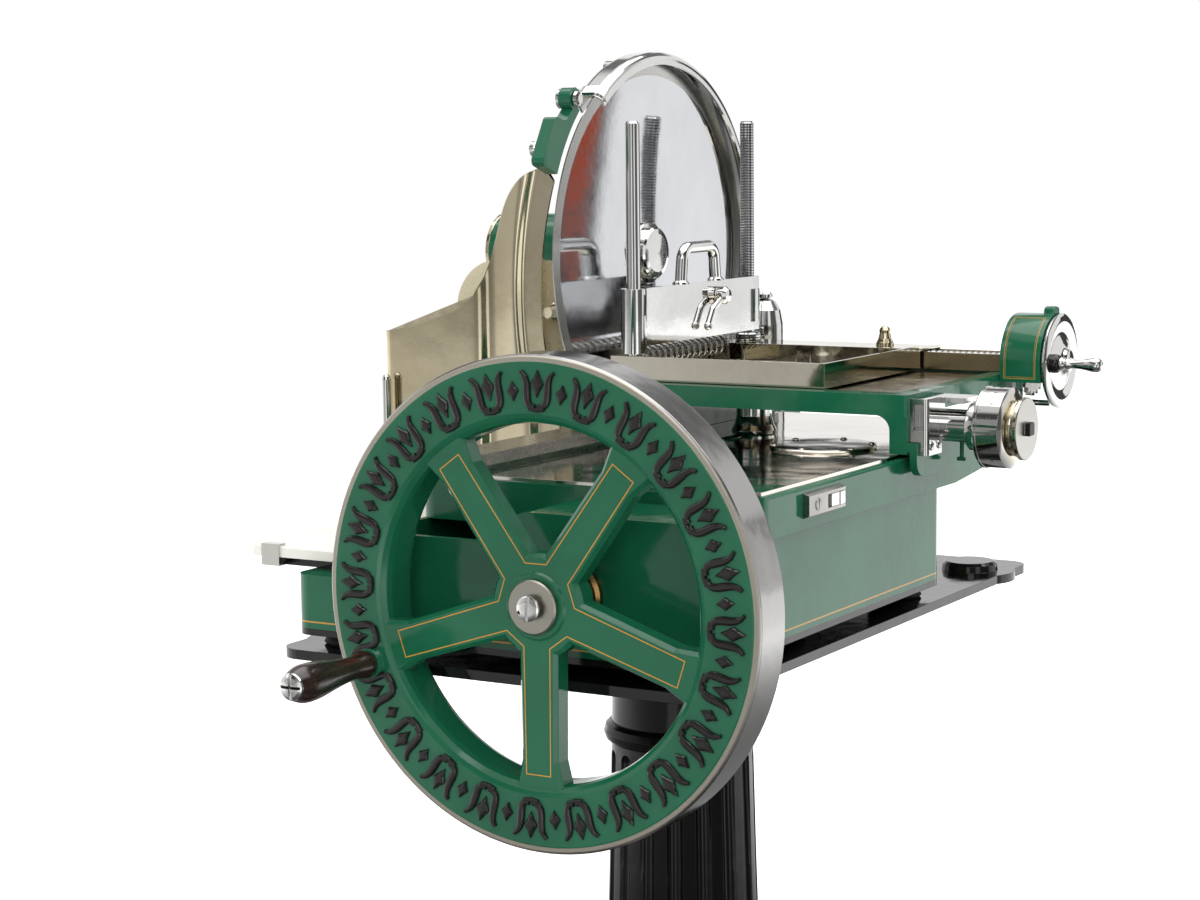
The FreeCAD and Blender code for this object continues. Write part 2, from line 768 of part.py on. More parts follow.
def make_front_bearing():
    """A flanged bush: the ring shows on the hood, the sleeve lines the casting's eye."""
    bore = main_shaft_radius + running_gap
    return lathe("Y", (wheel_x, 0, wheel_z), [(base_front + 43, bore),
                                              (base_front + 43, main_shaft_radius + 5),
                                              (base_front, main_shaft_radius + 5),
                                              (base_front, front_cap_radius),
                                              (base_front - 4, front_cap_radius),
                                              (base_front - 6.5, front_cap_radius - 2.5),
                                              (base_front - 8, front_cap_radius - 7),
                                              (base_front - 8, bore)])


save("flywheel", make_flywheel())
save("hub_plate", make_hub_plate())
save("main_shaft", make_main_shaft())
save("handle_spindle", make_spindle())
save("handle_grip", make_grip())
save("front_bearing", make_front_bearing())


# ================================================================ gear train in the base
def make_pinion():
    """The input pinion; its axis points from the common apex towards the flywheel."""
    gear = bevel_gear(pinion_teeth, crank_teeth, module, face_width, main_shaft_radius, 19, 12, 4, 0)
    gear = point_axis(gear, (0, -1, 0))
    return moved(gear, wheel_x, crank_y, wheel_z)


def make_crank_gear():
    gear = bevel_gear(crank_teeth, pinion_teeth, module, face_width, 12.05, 22, 0.5, 7, 180.0 / crank_teeth)
    gear = point_axis(gear, (0, 0, -1))
    gear = moved(gear, wheel_x, crank_y, wheel_z)
    hub_top = arm_bottom
    hub = tube("Z", (wheel_x, crank_y, gear_plane_z - 9), 22, 12 + running_gap, hub_top - gear_plane_z + 9)
    holes = [rod("Z", polar("Z", (wheel_x, crank_y, gear_plane_z - 30), 47, 60 * i), 15, 60)
             for i in range(6)]
    return cut(gear.fuse(hub), *holes)


def make_crank_arm():
    x, y, _ = polar("Z", (wheel_x, crank_y, 0), crank_throw, crank_rest)
    hub = rod("Z", (wheel_x, crank_y, arm_bottom), 24, arm_thickness)
    eye = rod("Z", (x, y, arm_bottom), 13, arm_thickness)
    web = prism("Z", [(wheel_x - 19, crank_y + 8), (wheel_x + 19, crank_y + 8), (x + 11, y - 2),
                      (x - 11, y - 2)], arm_bottom, arm_bottom + arm_thickness)
    tail = prism("Z", [(wheel_x - 30, crank_y - 52), (wheel_x + 30, crank_y - 52), (wheel_x + 20, crank_y),
                       (wheel_x - 20, crank_y)], arm_bottom, arm_bottom + arm_thickness, [14, 14, 0, 0])
    arm = union(hub, eye, web, tail)
    arm = arm.cut(rod("Z", (wheel_x, crank_y, arm_bottom - 1), 9, arm_thickness + 2))
    return arm.cut(rod("Z", (x, y, arm_bottom - 1), crank_pin_radius, arm_thickness + 2))


def crank_pin_place():
    x, y, _ = polar("Z", (wheel_x, crank_y, 0), crank_throw, crank_rest)
    return x, y


def make_crank_pin():
    x, y = crank_pin_place()
    pin = rod("Z", (x, y, arm_bottom - 0.5), crank_pin_radius,
              rod_bottom + rod_thickness + 0.6 - arm_bottom + 0.5)
    head = rod("Z", (x, y, rod_bottom + rod_thickness + 0.6), crank_pin_radius + 3, 2.6)
    foot = rod("Z", (x, y, arm_bottom - 2), crank_pin_radius + 2.5, 2)
    return union(pin, head, foot)


def make_connecting_rod():
    x, y = crank_pin_place()
    eyes = [rod("Z", (px, py, rod_bottom), 13, rod_thickness) for px, py in ((x, y), (lug_x, lug_y))]
    along = V(lug_x - x, lug_y - y, 0).normalize()
    side = V(-along.y, along.x, 0)
    a, b = V(x, y, 0), V(lug_x, lug_y, 0)
    corners = [a + side * 9, b + side * 7, b - side * 7, a - side * 9]
    bar = prism("Z", [(c.x, c.y) for c in corners], rod_bottom, rod_bottom + rod_thickness)
    groove = prism("Z", [(c.x, c.y) for c in (a + along * 22 + side * 4, b - along * 20 + side * 3,
                                              b - along * 20 - side * 3, a + along * 22 - side * 4)],
                   rod_bottom + rod_thickness - 2, rod_bottom + rod_thickness + 1)
    link = union(eyes[0], eyes[1], bar).cut(groove)
    return link.cut(rod("Z", (x, y, rod_bottom - 1), crank_pin_radius + running_gap, rod_thickness + 2))


def make_gear_stud():
    low = base_bottom + wall
    stud = rod("Z", (wheel_x, crank_y, low), 12, arm_bottom - low - 0.3)
    flange = lathe("Z", (wheel_x, crank_y, low), [(0, 0), (0, 30), (3.5, 30), (3.5, 0)])
    cap = rod("Z", (wheel_x, crank_y, arm_bottom - 0.4), 8.6, arm_thickness - 1.2)
    return union(stud, flange, cap)


def make_second_shaft():
    """Carries the knife drive's pinion at its front and a bevel gear at its rear."""
    front = second_mesh_y - 13
    back = cross_y - cross_teeth * cross_module / 2 + cross_face
    return rod("Y", (wheel_x, front, wheel_z), small_shaft_radius, back - front)


def make_second_pinion():
    gear = bevel_gear(pinion_teeth, crank_teeth, module, face_width, small_shaft_radius, 17, 8, 4, 0)
    gear = point_axis(gear, (0, 1, 0))
    return moved(gear, wheel_x, crank_y, wheel_z)


def make_mitre(direction, phase):
    gear = bevel_gear(cross_teeth, cross_teeth, cross_module, cross_face, small_shaft_radius, 15, 6, 3, phase)
    gear = point_axis(gear, direction)
    return moved(gear, wheel_x, cross_y, wheel_z)


def make_cross_shaft():
    right = wheel_x - cross_teeth * cross_module / 2 + cross_face
    left = chain_x - 13
    return rod("X", (right, cross_y, wheel_z), small_shaft_radius, left - right)


def sprocket(teeth, pitch_radius, centre_y, centre_z, bore, first):
    thickness = 5.0
    disc = rod("X", (chain_x - thickness / 2, centre_y, centre_z), pitch_radius + 2.6, thickness)
    hub = rod("X", (chain_x - 6, centre_y, centre_z), bore + 3, 12)
    seats = [polar("X", (chain_x - 10, centre_y, centre_z), pitch_radius, first + 360.0 * i / teeth)
             for i in range(teeth)]
    rollers = [rod("X", seat, roller_radius + 0.25, 20) for seat in seats]
    wheel = cut(disc, Part.makeCompound(rollers)).fuse(hub)
    for place in [(chain_x - 10, *chain_point(i)) for i in range(chain_links)]:
        in_a_seat = min(math.dist(place, seat) for seat in seats) < 0.1
        near = math.hypot(place[1] - centre_y, place[2] - centre_z) < pitch_radius + 3 * roller_radius
        if near and not in_a_seat:
            wheel = wheel.cut(rod("X", place, roller_radius + 0.25, 20))
    return wheel.cut(rod("X", (chain_x - 12, centre_y, centre_z), bore, 24))


def chain_frame():
    """Direction from the driving shaft to the knife shaft, and the lean of the chain's straight runs."""
    along = V(0, knife_y - cross_y, chain_gap_z)
    distance = along.Length
    lean = math.asin((drive_pitch_radius - knife_pitch_radius) / distance)
    heading = math.degrees(math.atan2(along.z, along.y))
    return distance, lean, heading


def chain_point(station):
    """The place (y, z) of a point that lies a number of pitches along the chain's loop."""
    distance, lean, heading = chain_frame()
    lean_deg = math.degrees(lean)
    on_drive = drive_sprocket_teeth * (math.pi + 2 * lean) / (2 * math.pi)
    run = distance * math.cos(lean) / chain_pitch
    on_knife = knife_sprocket_teeth * (math.pi - 2 * lean) / (2 * math.pi)
    station = station % chain_links
    start = heading + 90 - lean_deg
    if station <= on_drive:
        _, y, z = polar("X", (0, cross_y, wheel_z), drive_pitch_radius,
                        start + station * 360 / drive_sprocket_teeth)
        return y, z
    station -= on_drive
    low = polar("X", (0, cross_y, wheel_z), drive_pitch_radius, heading - 90 + lean_deg)
    high = polar("X", (0, knife_y, knife_z), knife_pitch_radius, heading - 90 + lean_deg)
    if station <= run:
        share = station / run
        return low[1] + (high[1] - low[1]) * share, low[2] + (high[2] - low[2]) * share
    station -= run
    if station <= on_knife:
        degrees = heading - 90 + lean_deg + station * 360 / knife_sprocket_teeth
        _, y, z = polar("X", (0, knife_y, knife_z), knife_pitch_radius, degrees)
        return y, z
    share = (station - on_knife) / run
    high = polar("X", (0, knife_y, knife_z), knife_pitch_radius, start)
    low = polar("X", (0, cross_y, wheel_z), drive_pitch_radius, start)
    return high[1] + (low[1] - high[1]) * share, high[2] + (low[2] - high[2]) * share


def make_chain():
    pieces = []
    for i in range(chain_links):
        y0, z0 = chain_point(i)
        y1, z1 = chain_point(i + 1)
        pieces.append(rod("X", (chain_x - 6.2, y0, z0), roller_radius, 12.4))
        across = V(0, -(z1 - z0), y1 - y0).normalize() * 3.6
        shift = 1.25 if i % 2 else 0.0
        corners = [(y0 + across.y, z0 + across.z), (y1 + across.y, z1 + across.z),
                   (y1 - across.y, z1 - across.z), (y0 - across.y, z0 - across.z)]
        for low in (chain_x - 4.6 - shift, chain_x + 3.4 + shift):
            pieces.append(prism("X", corners, low, low + 1.2))
    return pieces[0].multiFuse(pieces[1:])


def bearing_block(axis, centre, bore):
    """A pillow block on the casting's floor with its bore on the shaft's axis."""
    x, y, z = centre
    across = x if axis == "Y" else y
    along = y if axis == "Y" else x
    corners = [(across - 24, floor_z), (across + 24, floor_z), (across + 24, floor_z + 8),
               (across + 18, floor_z + 12), (across + 16, z + 4), (across - 16, z + 4),
               (across - 18, floor_z + 12), (across - 24, floor_z + 8)]
    body = prism(axis, corners, along - 7, along + 7)
    centre_low = (x, y - 9, z) if axis == "Y" else (x - 9, y, z)
    body = body.fuse(rod(axis, centre_low, 17, 18))
    for side in (-20, 20):
        spot = (across + side, along) if axis == "Y" else (along, across + side)
        body = body.cut(rod("Z", (spot[0], spot[1], floor_z - 1), 3.2, 12))
    return body.cut(rod(axis, (centre_low[0] - (5 if axis == "X" else 0),
                               centre_low[1] - (5 if axis == "Y" else 0), z), bore, 30))


def make_bearing_blocks():
    small = small_shaft_radius + running_gap
    spots = [("Y", (wheel_x, deck_front - 12, wheel_z), main_shaft_radius + running_gap),
             ("Y", (wheel_x, second_mesh_y + 38, wheel_z), small),
             ("X", (wheel_x - 62, cross_y, wheel_z), small),
             ("X", (chain_x + 30, cross_y, wheel_z), small)]
    return [bearing_block(axis, centre, bore) for axis, centre, bore in spots]


save("drive_pinion", make_pinion())
save("crank_gear", make_crank_gear())
save("crank_arm", union(make_crank_arm(), make_crank_pin()))
save("connecting_rod", make_connecting_rod())
save("crank_gear_stud", make_gear_stud())
save("second_shaft", union(make_second_shaft(), make_second_pinion(), make_mitre((0, -1, 0), 0)))
save("cross_shaft", union(make_cross_shaft(), make_mitre((-1, 0, 0), 180.0 / cross_teeth)))

drive_seat_angle = chain_frame()[2] + 90 - math.degrees(chain_frame()[1])


def first_knife_seat():
    """The angle of one roller on the knife's sprocket."""
    on_drive = drive_sprocket_teeth * (math.pi + 2 * chain_frame()[1]) / (2 * math.pi)
    run = chain_frame()[0] * math.cos(chain_frame()[1]) / chain_pitch
    station = math.ceil(on_drive + run)
    y, z = chain_point(station)
    return math.degrees(math.atan2(z - knife_z, y - knife_y))


save("drive_sprocket", sprocket(drive_sprocket_teeth, drive_pitch_radius, cross_y, wheel_z,
                                small_shaft_radius, drive_seat_angle))
save("knife_sprocket", sprocket(knife_sprocket_teeth, knife_pitch_radius, knife_y, knife_z,
                                knife_shaft_radius, first_knife_seat()))
save("drive_chain", make_chain())


# ================================================================ knife and its bracket
def knife_polar(radius, degrees, x):
    _, y, z = polar("X", (0, knife_y, knife_z), radius, degrees)
    return (x, y, z)


def neck_hull(grow, x0, x1):
    """The neck stands over the chain: a belt line about the driving shaft and the knife shaft."""
    low_r, high_r = neck_low_radius + grow, drum_radius + grow
    distance, _, heading = chain_frame()
    lean = math.degrees(math.asin((low_r - high_r) / distance))
    low_centre, high_centre = (0, cross_y, wheel_z), (0, knife_y, knife_z)
    ends = [polar("X", low_centre, low_r, heading + 90 - lean),
            polar("X", low_centre, low_r, heading - 90 + lean),
            polar("X", high_centre, high_r, heading - 90 + lean),
            polar("X", high_centre, high_r, heading + 90 - lean)]
    web = prism("X", [(p[1], p[2]) for p in ends], x0, x1)
    hull = union(web, rod("X", (x0, cross_y, wheel_z), low_r, x1 - x0),
                 rod("X", (x0, knife_y, knife_z), high_r, x1 - x0))
    return hull.cut(box(x0 - 1, x1 + 1, cross_y - 120, cross_y + 140, wheel_z - 120, neck_seat_z))


def make_bracket():
    neck = neck_hull(0, bracket_left, bracket_right)
    foot = prism("Z", rectangle(base_left + 1, bracket_right, seat_front + 2, seat_back - 2), neck_seat_z,
                 neck_seat_z + bracket_foot, 3)
    drum = lathe("X", (0, knife_y, knife_z), [(drum_end_x, 0), (drum_end_x, drum_radius),
                                              (bracket_left + 1, drum_radius), (bracket_left + 1, 0)])
    body = union(neck, foot, drum)
    body = body.cut(neck_hull(-wall, bracket_left + wall, bracket_right + 1))
    body = body.cut(rod("X", (drum_end_x - 1, knife_y, knife_z), bush_radius,
                        bracket_left + wall - drum_end_x + 2))
    return body


def make_bracket_bolts():
    spots = [(x, y) for x in (base_left + 9, bracket_right - 8) for y in (seat_front + 9.5, seat_back - 9.5)]
    return [screw("Z", (x, y, neck_seat_z + bracket_foot), 6, 3.6) for x, y in spots]


def make_chain_cover():
    cover = neck_hull(0, bracket_right, bracket_right + 4)
    cover = cover.cut(rod("X", (bracket_right - 1, knife_y, knife_z), knife_shaft_radius + 3, 8))
    return cover


def make_knife_bushes():
    inner = knife_shaft_radius + running_gap
    rear = tube("X", (drum_end_x + 1, knife_y, knife_z), bush_radius, inner, 32)
    front = tube("X", (bracket_left + wall - 34, knife_y, knife_z), bush_radius, inner, 34)
    return [rear, front]


def make_drum_cap():
    profile = [(drum_end_x, 0), (drum_end_x, drum_radius - 1), (drum_end_x - 1, drum_radius),
               (drum_end_x - 4, drum_radius), (drum_end_x - 6, drum_radius - 2.5),
               (drum_end_x - 7, drum_radius - 9), (drum_end_x - 6, drum_radius - 12), (drum_end_x - 6, 0)]
    cap = lathe("X", (0, knife_y, knife_z), profile)
    return union(cap, screw("X", (drum_end_x - 6, knife_y, knife_z), 7, 4, -1))


def make_knife_shaft():
    return rod("X", (drum_end_x + 1.5, knife_y, knife_z), knife_shaft_radius, knife_x - 3 - drum_end_x - 1.5)


def make_blade():
    """A hollow ground disc: dished in front, with a ground bevel behind its edge and a flat seat."""
    def at(t, r):
        return V(knife_x + t, knife_y + r, knife_z)

    bore, edge, seat = knife_shaft_radius, knife_radius, 40
    dish, back = -knife_dish, -knife_dish - 5
    edges = [Part.makeLine(at(back, bore), at(back, seat)),
             Part.makeLine(at(back, seat), at(-4.6, edge - 16)),
             Part.makeLine(at(-4.6, edge - 16), at(-knife_edge_thickness, edge)),
             Part.makeLine(at(-knife_edge_thickness, edge), at(0, edge)),
             Part.makeLine(at(0, edge), at(-1.3, edge - 12)),
             Part.Arc(at(-1.3, edge - 12), at(dish + 1.6, 0.6 * edge), at(dish, seat)).toShape(),
             Part.makeLine(at(dish, seat), at(dish, bore)),
             Part.makeLine(at(dish, bore), at(back, bore))]
    return Part.Face(Part.Wire(edges)).revolve(V(knife_x, knife_y, knife_z), AXIS["X"], 360)


def make_knife_hub():
    """Clamps the blade from the front: a flange and a flat faced cap with a rounded edge."""
    face = knife_x - knife_dish
    bore = knife_shaft_radius
    profile = [(face, bore), (face, 29.5), (face + 2.6, 29.5), (face + 3.6, 28.4), (face + 3.6, 24.4),
               (face + 9.5, 24.4), (face + 11.4, 22.6), (face + 12.2, 18), (face + 12.6, 0),
               (face + 4, 0), (face + 4, bore)]
    return lathe("X", (0, knife_y, knife_z), profile)


def make_knife_backing():
    face = knife_x - knife_dish - 5
    return rod("X", (face, knife_y, knife_z), 29, -(face - (bracket_right + 4) - 0.6))


def rounded_back(x0, x1, top, corner):
    """The points of a channel's rounded back, from its left wall over the top to its right wall."""
    steps = 6
    points = []
    for centre, first in ((x0 + corner, 180.0), (x1 - corner, 90.0)):
        for i in range(steps + 1):
            angle = math.radians(first - 90.0 * i / steps)
            points.append((centre + corner * math.cos(angle), top - corner + corner * math.sin(angle)))
    return points


def channel_section(x0, x1, top, left_foot, right_foot, wall, corner):
    """A strip bent to a channel with a rounded back, open towards the knife's axis."""
    outer = rounded_back(x0, x1, top, corner)
    inner = rounded_back(x0 + wall, x1 - wall, top - wall, corner - wall)
    return ([(x0, left_foot)] + outer + [(x1, right_foot), (x1 - wall, right_foot)] + inner[::-1]
            + [(x0 + wall, left_foot)])


def guard_section():
    r, x0, x1 = guard_radius, knife_x - guard_half_width, knife_x + guard_half_width
    return channel_section(x0, x1, r, r - 19, r - 12, guard_wall, guard_corner)


def make_guard():
    return lathe("X", (0, knife_y, knife_z), guard_section(), False, guard_sweep, guard_start)


def hinge_place():
    _, y, z = knife_polar(knife_radius + 18, sharpener_angle - 10.5, 0)
    return y, z


def stone_place():
    _, y, z = knife_polar(knife_radius + stone_radius + 3, sharpener_angle + 5, 0)
    return y, z


def make_guard_clip():
    """Clasps the guard's end and carries the ear that the sharpener hangs on."""
    r, x0, x1 = guard_radius, knife_x - guard_half_width, knife_x + guard_half_width
    first = guard_start + guard_sweep - 4
    band = channel_section(x0 - 2, x1 + 2, r + 2, r - 16, r - 9, 2.2, guard_corner + 2)
    ring = lathe("X", (0, knife_y, knife_z), band, False, 3.2, first)
    y, z = hinge_place()
    ear_right = sharpener_x - sharpener_half - slide_gap
    ear = prism("X", [knife_polar(r - 14, first + 0.4, 0)[1:], knife_polar(r + 2, first + 0.4, 0)[1:],
                      (y + 4, z + 6.5), (y - 6.5, z - 4), knife_polar(r - 14, first + 3, 0)[1:]],
                ear_right - 3, ear_right)
    eye = rod("X", (ear_right - 3, y, z), 9, 3).cut(rod("X", (ear_right - 4, y, z), 4, 5))
    inner = tube("X", (ear_right - 4, knife_y, knife_z), r + 0.2, r - 40, 30)
    ear = union(ear, eye)
    return union(ring, ear.cut(inner)) if ear_right > x0 else union(ring, ear)


def make_hinge_pin():
    y, z = hinge_place()
    x0 = sharpener_x - sharpener_half - 5
    pin = rod("X", (x0, y, z), 4, 2 * sharpener_half + 7)
    knob = lathe("X", (sharpener_x + sharpener_half + 0.4, y, z), [(0, 0), (0, 6.5), (1.5, 7), (4, 6.4),
                                                                   (5.5, 4), (5.5, 0)])
    return union(pin, knob)


def make_guard_bracket():
    """A collar on the drum with two arms that hold the guard from behind the blade."""
    x0 = bracket_left - 18
    collar = tube("X", (x0, knife_y, knife_z), drum_radius + 9, drum_radius, 12)
    arms = []
    for degrees in guard_arm_angles:
        bar = prism("X", [(knife_y + drum_radius + 5, knife_z - 10),
                          (knife_y + guard_radius - 12, knife_z - 7),
                          (knife_y + guard_radius - 12, knife_z + 7),
                          (knife_y + drum_radius + 5, knife_z + 10)],
                    x0 + 1, x0 + 9)
        arms.append(turned(bar, "X", (0, knife_y, knife_z), degrees))
        x, y, z = knife_polar(guard_radius - 10, degrees, x0 + 1)
        arms.append(rod("X", (x, y, z), 8, knife_x - guard_half_width - x))
    return union(collar, *arms)


save("knife_bracket", union(make_bracket(), *make_bracket_bolts()))
save("chain_cover", make_chain_cover())
save("shaft_bearings", Part.makeCompound(make_bearing_blocks() + make_knife_bushes()))
save("drum_cap", make_drum_cap())
save("knife_shaft", union(make_knife_shaft(), make_knife_backing()))
save("knife_blade", make_blade())
save("knife_hub", make_knife_hub())
save("knife_guard", union(make_guard(), make_guard_clip(), make_hinge_pin()))
save("guard_bracket", make_guard_bracket())


# ================================================================ sharpener at the blade's edge
def make_sharpener():
    """A cast holder that follows the blade's rim, with an ear for its hinge pin at the top."""
    ring = knife_radius + 5
    x0, half = sharpener_x - sharpener_half, sharpener_half
    low, high = sharpener_angle + 11, sharpener_angle - 10
    body = prism("X", [knife_polar(ring - 14, low, 0)[1:], knife_polar(ring + 28, low + 1, 0)[1:],
                       knife_polar(ring + 28, sharpener_angle - 1, 0)[1:],
                       knife_polar(ring + 11, sharpener_angle - 3, 0)[1:],
                       knife_polar(ring + 9, high, 0)[1:],
                       knife_polar(ring - 14, high, 0)[1:]], x0, x0 + 2 * half, [0, 5, 5, 4, 3, 0])
    py, pz = hinge_place()
    sy, sz = stone_place()
    body = union(body, rod("X", (x0, py, pz), 10, 2 * half))
    body = body.cut(rod("X", (x0 - 10, knife_y, knife_z), ring, 60))
    body = body.cut(rod("X", (x0 - 1, py, pz), 4 + running_gap, 2 * half + 2))
    return body.cut(rod("X", (x0 - 1, sy, sz), stone_pin_radius + running_gap, 2 * half - 1))


def make_stone():
    """A small grinding stone on its own spindle behind the holder."""
    y, z = stone_place()
    x = sharpener_x - sharpener_half - 0.5
    r = stone_radius
    stone = lathe("X", (x, y, z), [(0, 0), (0, r - 1), (-1, r), (-6, r), (-7, r - 1), (-7, 0)])
    pin = rod("X", (x - 8, y, z), stone_pin_radius, 2 * sharpener_half + 5.5)
    knob = lathe("X", (x - 8, y, z), [(0, 0), (0, 6), (-2, 7), (-6, 7), (-8, 5), (-8, 0)])
    return union(stone, pin, knob)


save("sharpener", make_sharpener())
save("sharpener_stone", make_stone())


# ================================================================ receiving slab, deflector, oil pillar
def bent_sheet(path, thickness, z0, z1, bends):
    """A sheet on edge along a plan polyline, its thickness on the +Y side, with a radius at each bend."""
    points = [V(p[0], p[1], 0) for p in path]
    normals = []
    for a, b in zip(points, points[1:]):
        d = (b - a).normalize()
        normals.append(V(-d.y, d.x, 0))
    far = []
    near_radii = []
    far_radii = []
    for i, p in enumerate(points):
        before, after = normals[max(i - 1, 0)], normals[min(i, len(normals) - 1)]
        turns_left = before.cross(after).z > 0
        near_radii.append(bends[i] + (thickness if bends[i] and turns_left else 0))
        far_radii.append(bends[i] + (thickness if bends[i] and not turns_left else 0))
        middle = (before + after).normalize()
        far.append(p + middle * (thickness / middle.dot(after)))
    ring = points + far[::-1]
    corners = [(p.x, p.y) for p in ring]
    return prism("Z", corners, z0, z1, near_radii + far_radii[::-1])


def make_slab_frame():
    low, high = shelf_top, shelf_top + 8
    outer = prism("Z", rectangle(slab_left + 6, slab_right - 6, slab_front + 12, slab_back - 6), low, high, 4)
    return outer.cut(prism("Z", rectangle(slab_left + 16, base_left - 6, slab_front + 30, slab_back - 24),
                           low - 1, high + 1, 4))


def make_slab():
    low = shelf_top + 8
    slab = prism("Z", rectangle(slab_left, slab_right, slab_front, slab_back), low, low + slab_thickness, 5)
    return slab.makeChamfer(1.2, [e for e in slab.Edges if e.BoundBox.ZMin > low + slab_thickness - 0.01])


def make_slab_clip():
    """A folded metal clip that holds the slab's front edge to its frame."""
    x, y = slab_left + 22, slab_front
    low = shelf_top + 1
    high = shelf_top + 8 + slab_thickness
    tongue = box(x - 9, x + 9, y - 1.8, y + 7, high, high + 1.6)
    front = box(x - 9, x + 9, y - 1.8, y, low, high + 1.6)
    foot = box(x - 9, x + 9, y - 1.8, y + 12, low, low + 1.6)
    return union(tongue, front, foot)


def deflector_edge():
    """The top line of the front deflector, rising in a soft S from its left end to the blade."""
    points = [V(deflector_left + along, deflector_y, wheel_z + rise) for along, rise in deflector_rises]
    curve = Part.BSplineCurve()
    curve.interpolate(points)
    return curve, points


def make_deflector():
    curve, points = deflector_edge()
    path = [(deflector_left, deflector_y + 6), (deflector_left + 6, deflector_y), (-226, deflector_y),
            (-214, deflector_y + 7), (-176, deflector_y + 3), (-168, deflector_y + 9),
            (sheet_right - 1, deflector_y + 9)]
    bends = [0, 6, 16, 16, 10, 10, 0]
    sheet_body = bent_sheet(path, sheet, shelf_top + 26, points[-1].z + 13, bends)
    low, y = shelf_top + 20, deflector_y
    corners = [points[-1], V(sheet_right, y, points[-1].z - 7), V(sheet_right, y, low),
               V(deflector_left - 2, y, low), V(deflector_left - 2, y, points[0].z - 0.3), points[0]]
    sides = [Part.makeLine(a, b) for a, b in zip(corners, corners[1:])]
    face = Part.Face(Part.Wire([curve.toShape()] + sides))
    face.translate(V(0, -20, 0))
    return sheet_body.common(face.extrude(V(0, 60, 0)))


def make_rear_plate():
    """The cream plate behind the deflector, with a quarter round shoulder on its left."""
    y, left, top, low = rear_plate_y, rear_plate_left, rear_plate_top, shelf_top + 16
    start = V(left, y, top - rear_plate_shoulder - 4)
    end = V(left + rear_plate_shoulder, y, top)
    middle = V(left + 0.29 * rear_plate_shoulder, y, top - 0.31 * (top - start.z))
    corners = [end, V(sheet_right, y, top), V(sheet_right, y, low), V(left, y, low), start]
    edges = [Part.Arc(start, middle, end).toShape()]
    edges = edges + [Part.makeLine(a, b) for a, b in zip(corners, corners[1:])]
    plate = Part.Face(Part.Wire(edges)).extrude(V(0, sheet, 0))
    seat_room = box(base_left - 1, sheet_right + 1, y - 1, y + sheet + 1, low - 1,
                    neck_seat_z + bracket_foot + 4)
    return plate.cut(seat_room)


def make_deflector_arms():
    """Brackets from the neck to the rear plate, spacers to the front sheet, and the pins at its left end."""
    neck = neck_hull(0, bracket_left - 1, bracket_right + 1)
    parts = []
    for z in (spacer_low, spacer_high):
        arm = box(spacer_x - 21, spacer_x - 1, rear_plate_y + sheet, cross_y + 43, z, z + 16).cut(neck)
        parts.append(arm)
    return parts


def make_deflector_spacers():
    y0, y1 = deflector_y + sheet + 9, rear_plate_y
    spots = [(spacer_x, spacer_high), (spacer_x, spacer_low), (rear_plate_left + 29, spacer_low + 20)]
    spacers = []
    for x, z in spots:
        start = y0 if x == spacer_x else deflector_y + sheet
        spacers.append(rod("Y", (x, start, z), 5, y1 - start))
    return spacers


def make_thumb_nut():
    y = deflector_y + 9
    return lathe("Y", (spacer_x, y, spacer_high), [(0, 0), (0, 8), (-2, 9), (-5, 9), (-7, 7), (-9, 4),
                                                   (-12, 4.5), (-13, 3), (-13, 0)])


def make_edge_pins():
    """Two round topped pins on a flat bar hold the deflector's left end between them."""
    bar = box(edge_bar_left, base_left + 24, deflector_y - 16, deflector_y + 16, shelf_top, shelf_top + 7)
    bar = bar.cut(box(slab_left - 2, base_left + 30, deflector_y - 20, slab_back + 1, shelf_top - 1,
                      shelf_top + 10))
    r, top = edge_pin_radius, edge_pin_length
    profile = [(0, 0), (0, r), (top - 5.4, r), (top - 2.4, r - 1), (top - 0.4, r - 2.8), (top, 0)]
    pins = []
    for y in (deflector_y - 9, deflector_y + 12):
        pins.append(lathe("Z", (edge_pin_x, y, shelf_top + 7), profile))
    return union(bar, *pins)


def make_pillar():
    """A domed chrome pillar that holds oil, turned from one bar."""
    z = deck_top
    r = pillar_radius
    profile = [(0, 0), (0, r), (5, r), (9, r - 3.5), (60, r - 4.5), (84, r - 5), (98, r - 7.5), (107, r - 13),
               (110, 4), (110, 0)]
    return lathe("Z", (pillar_x, pillar_y, z), profile)


def make_oil_cap():
    z = deck_top + 110
    return lathe("Z", (pillar_x, pillar_y, z), [(0, 0), (0, 7), (1, 7.6), (4, 7.6), (5.5, 6), (6, 0)])


save("slab_frame", union(make_slab_frame(), make_slab_clip(), make_edge_pins()))
save("receiving_slab", make_slab())
save("deflector", union(make_deflector(), make_thumb_nut()))
save("rear_plate", union(make_rear_plate(), *make_deflector_arms(), *make_deflector_spacers()))
save("oil_pillar", union(make_pillar(), make_oil_cap()))


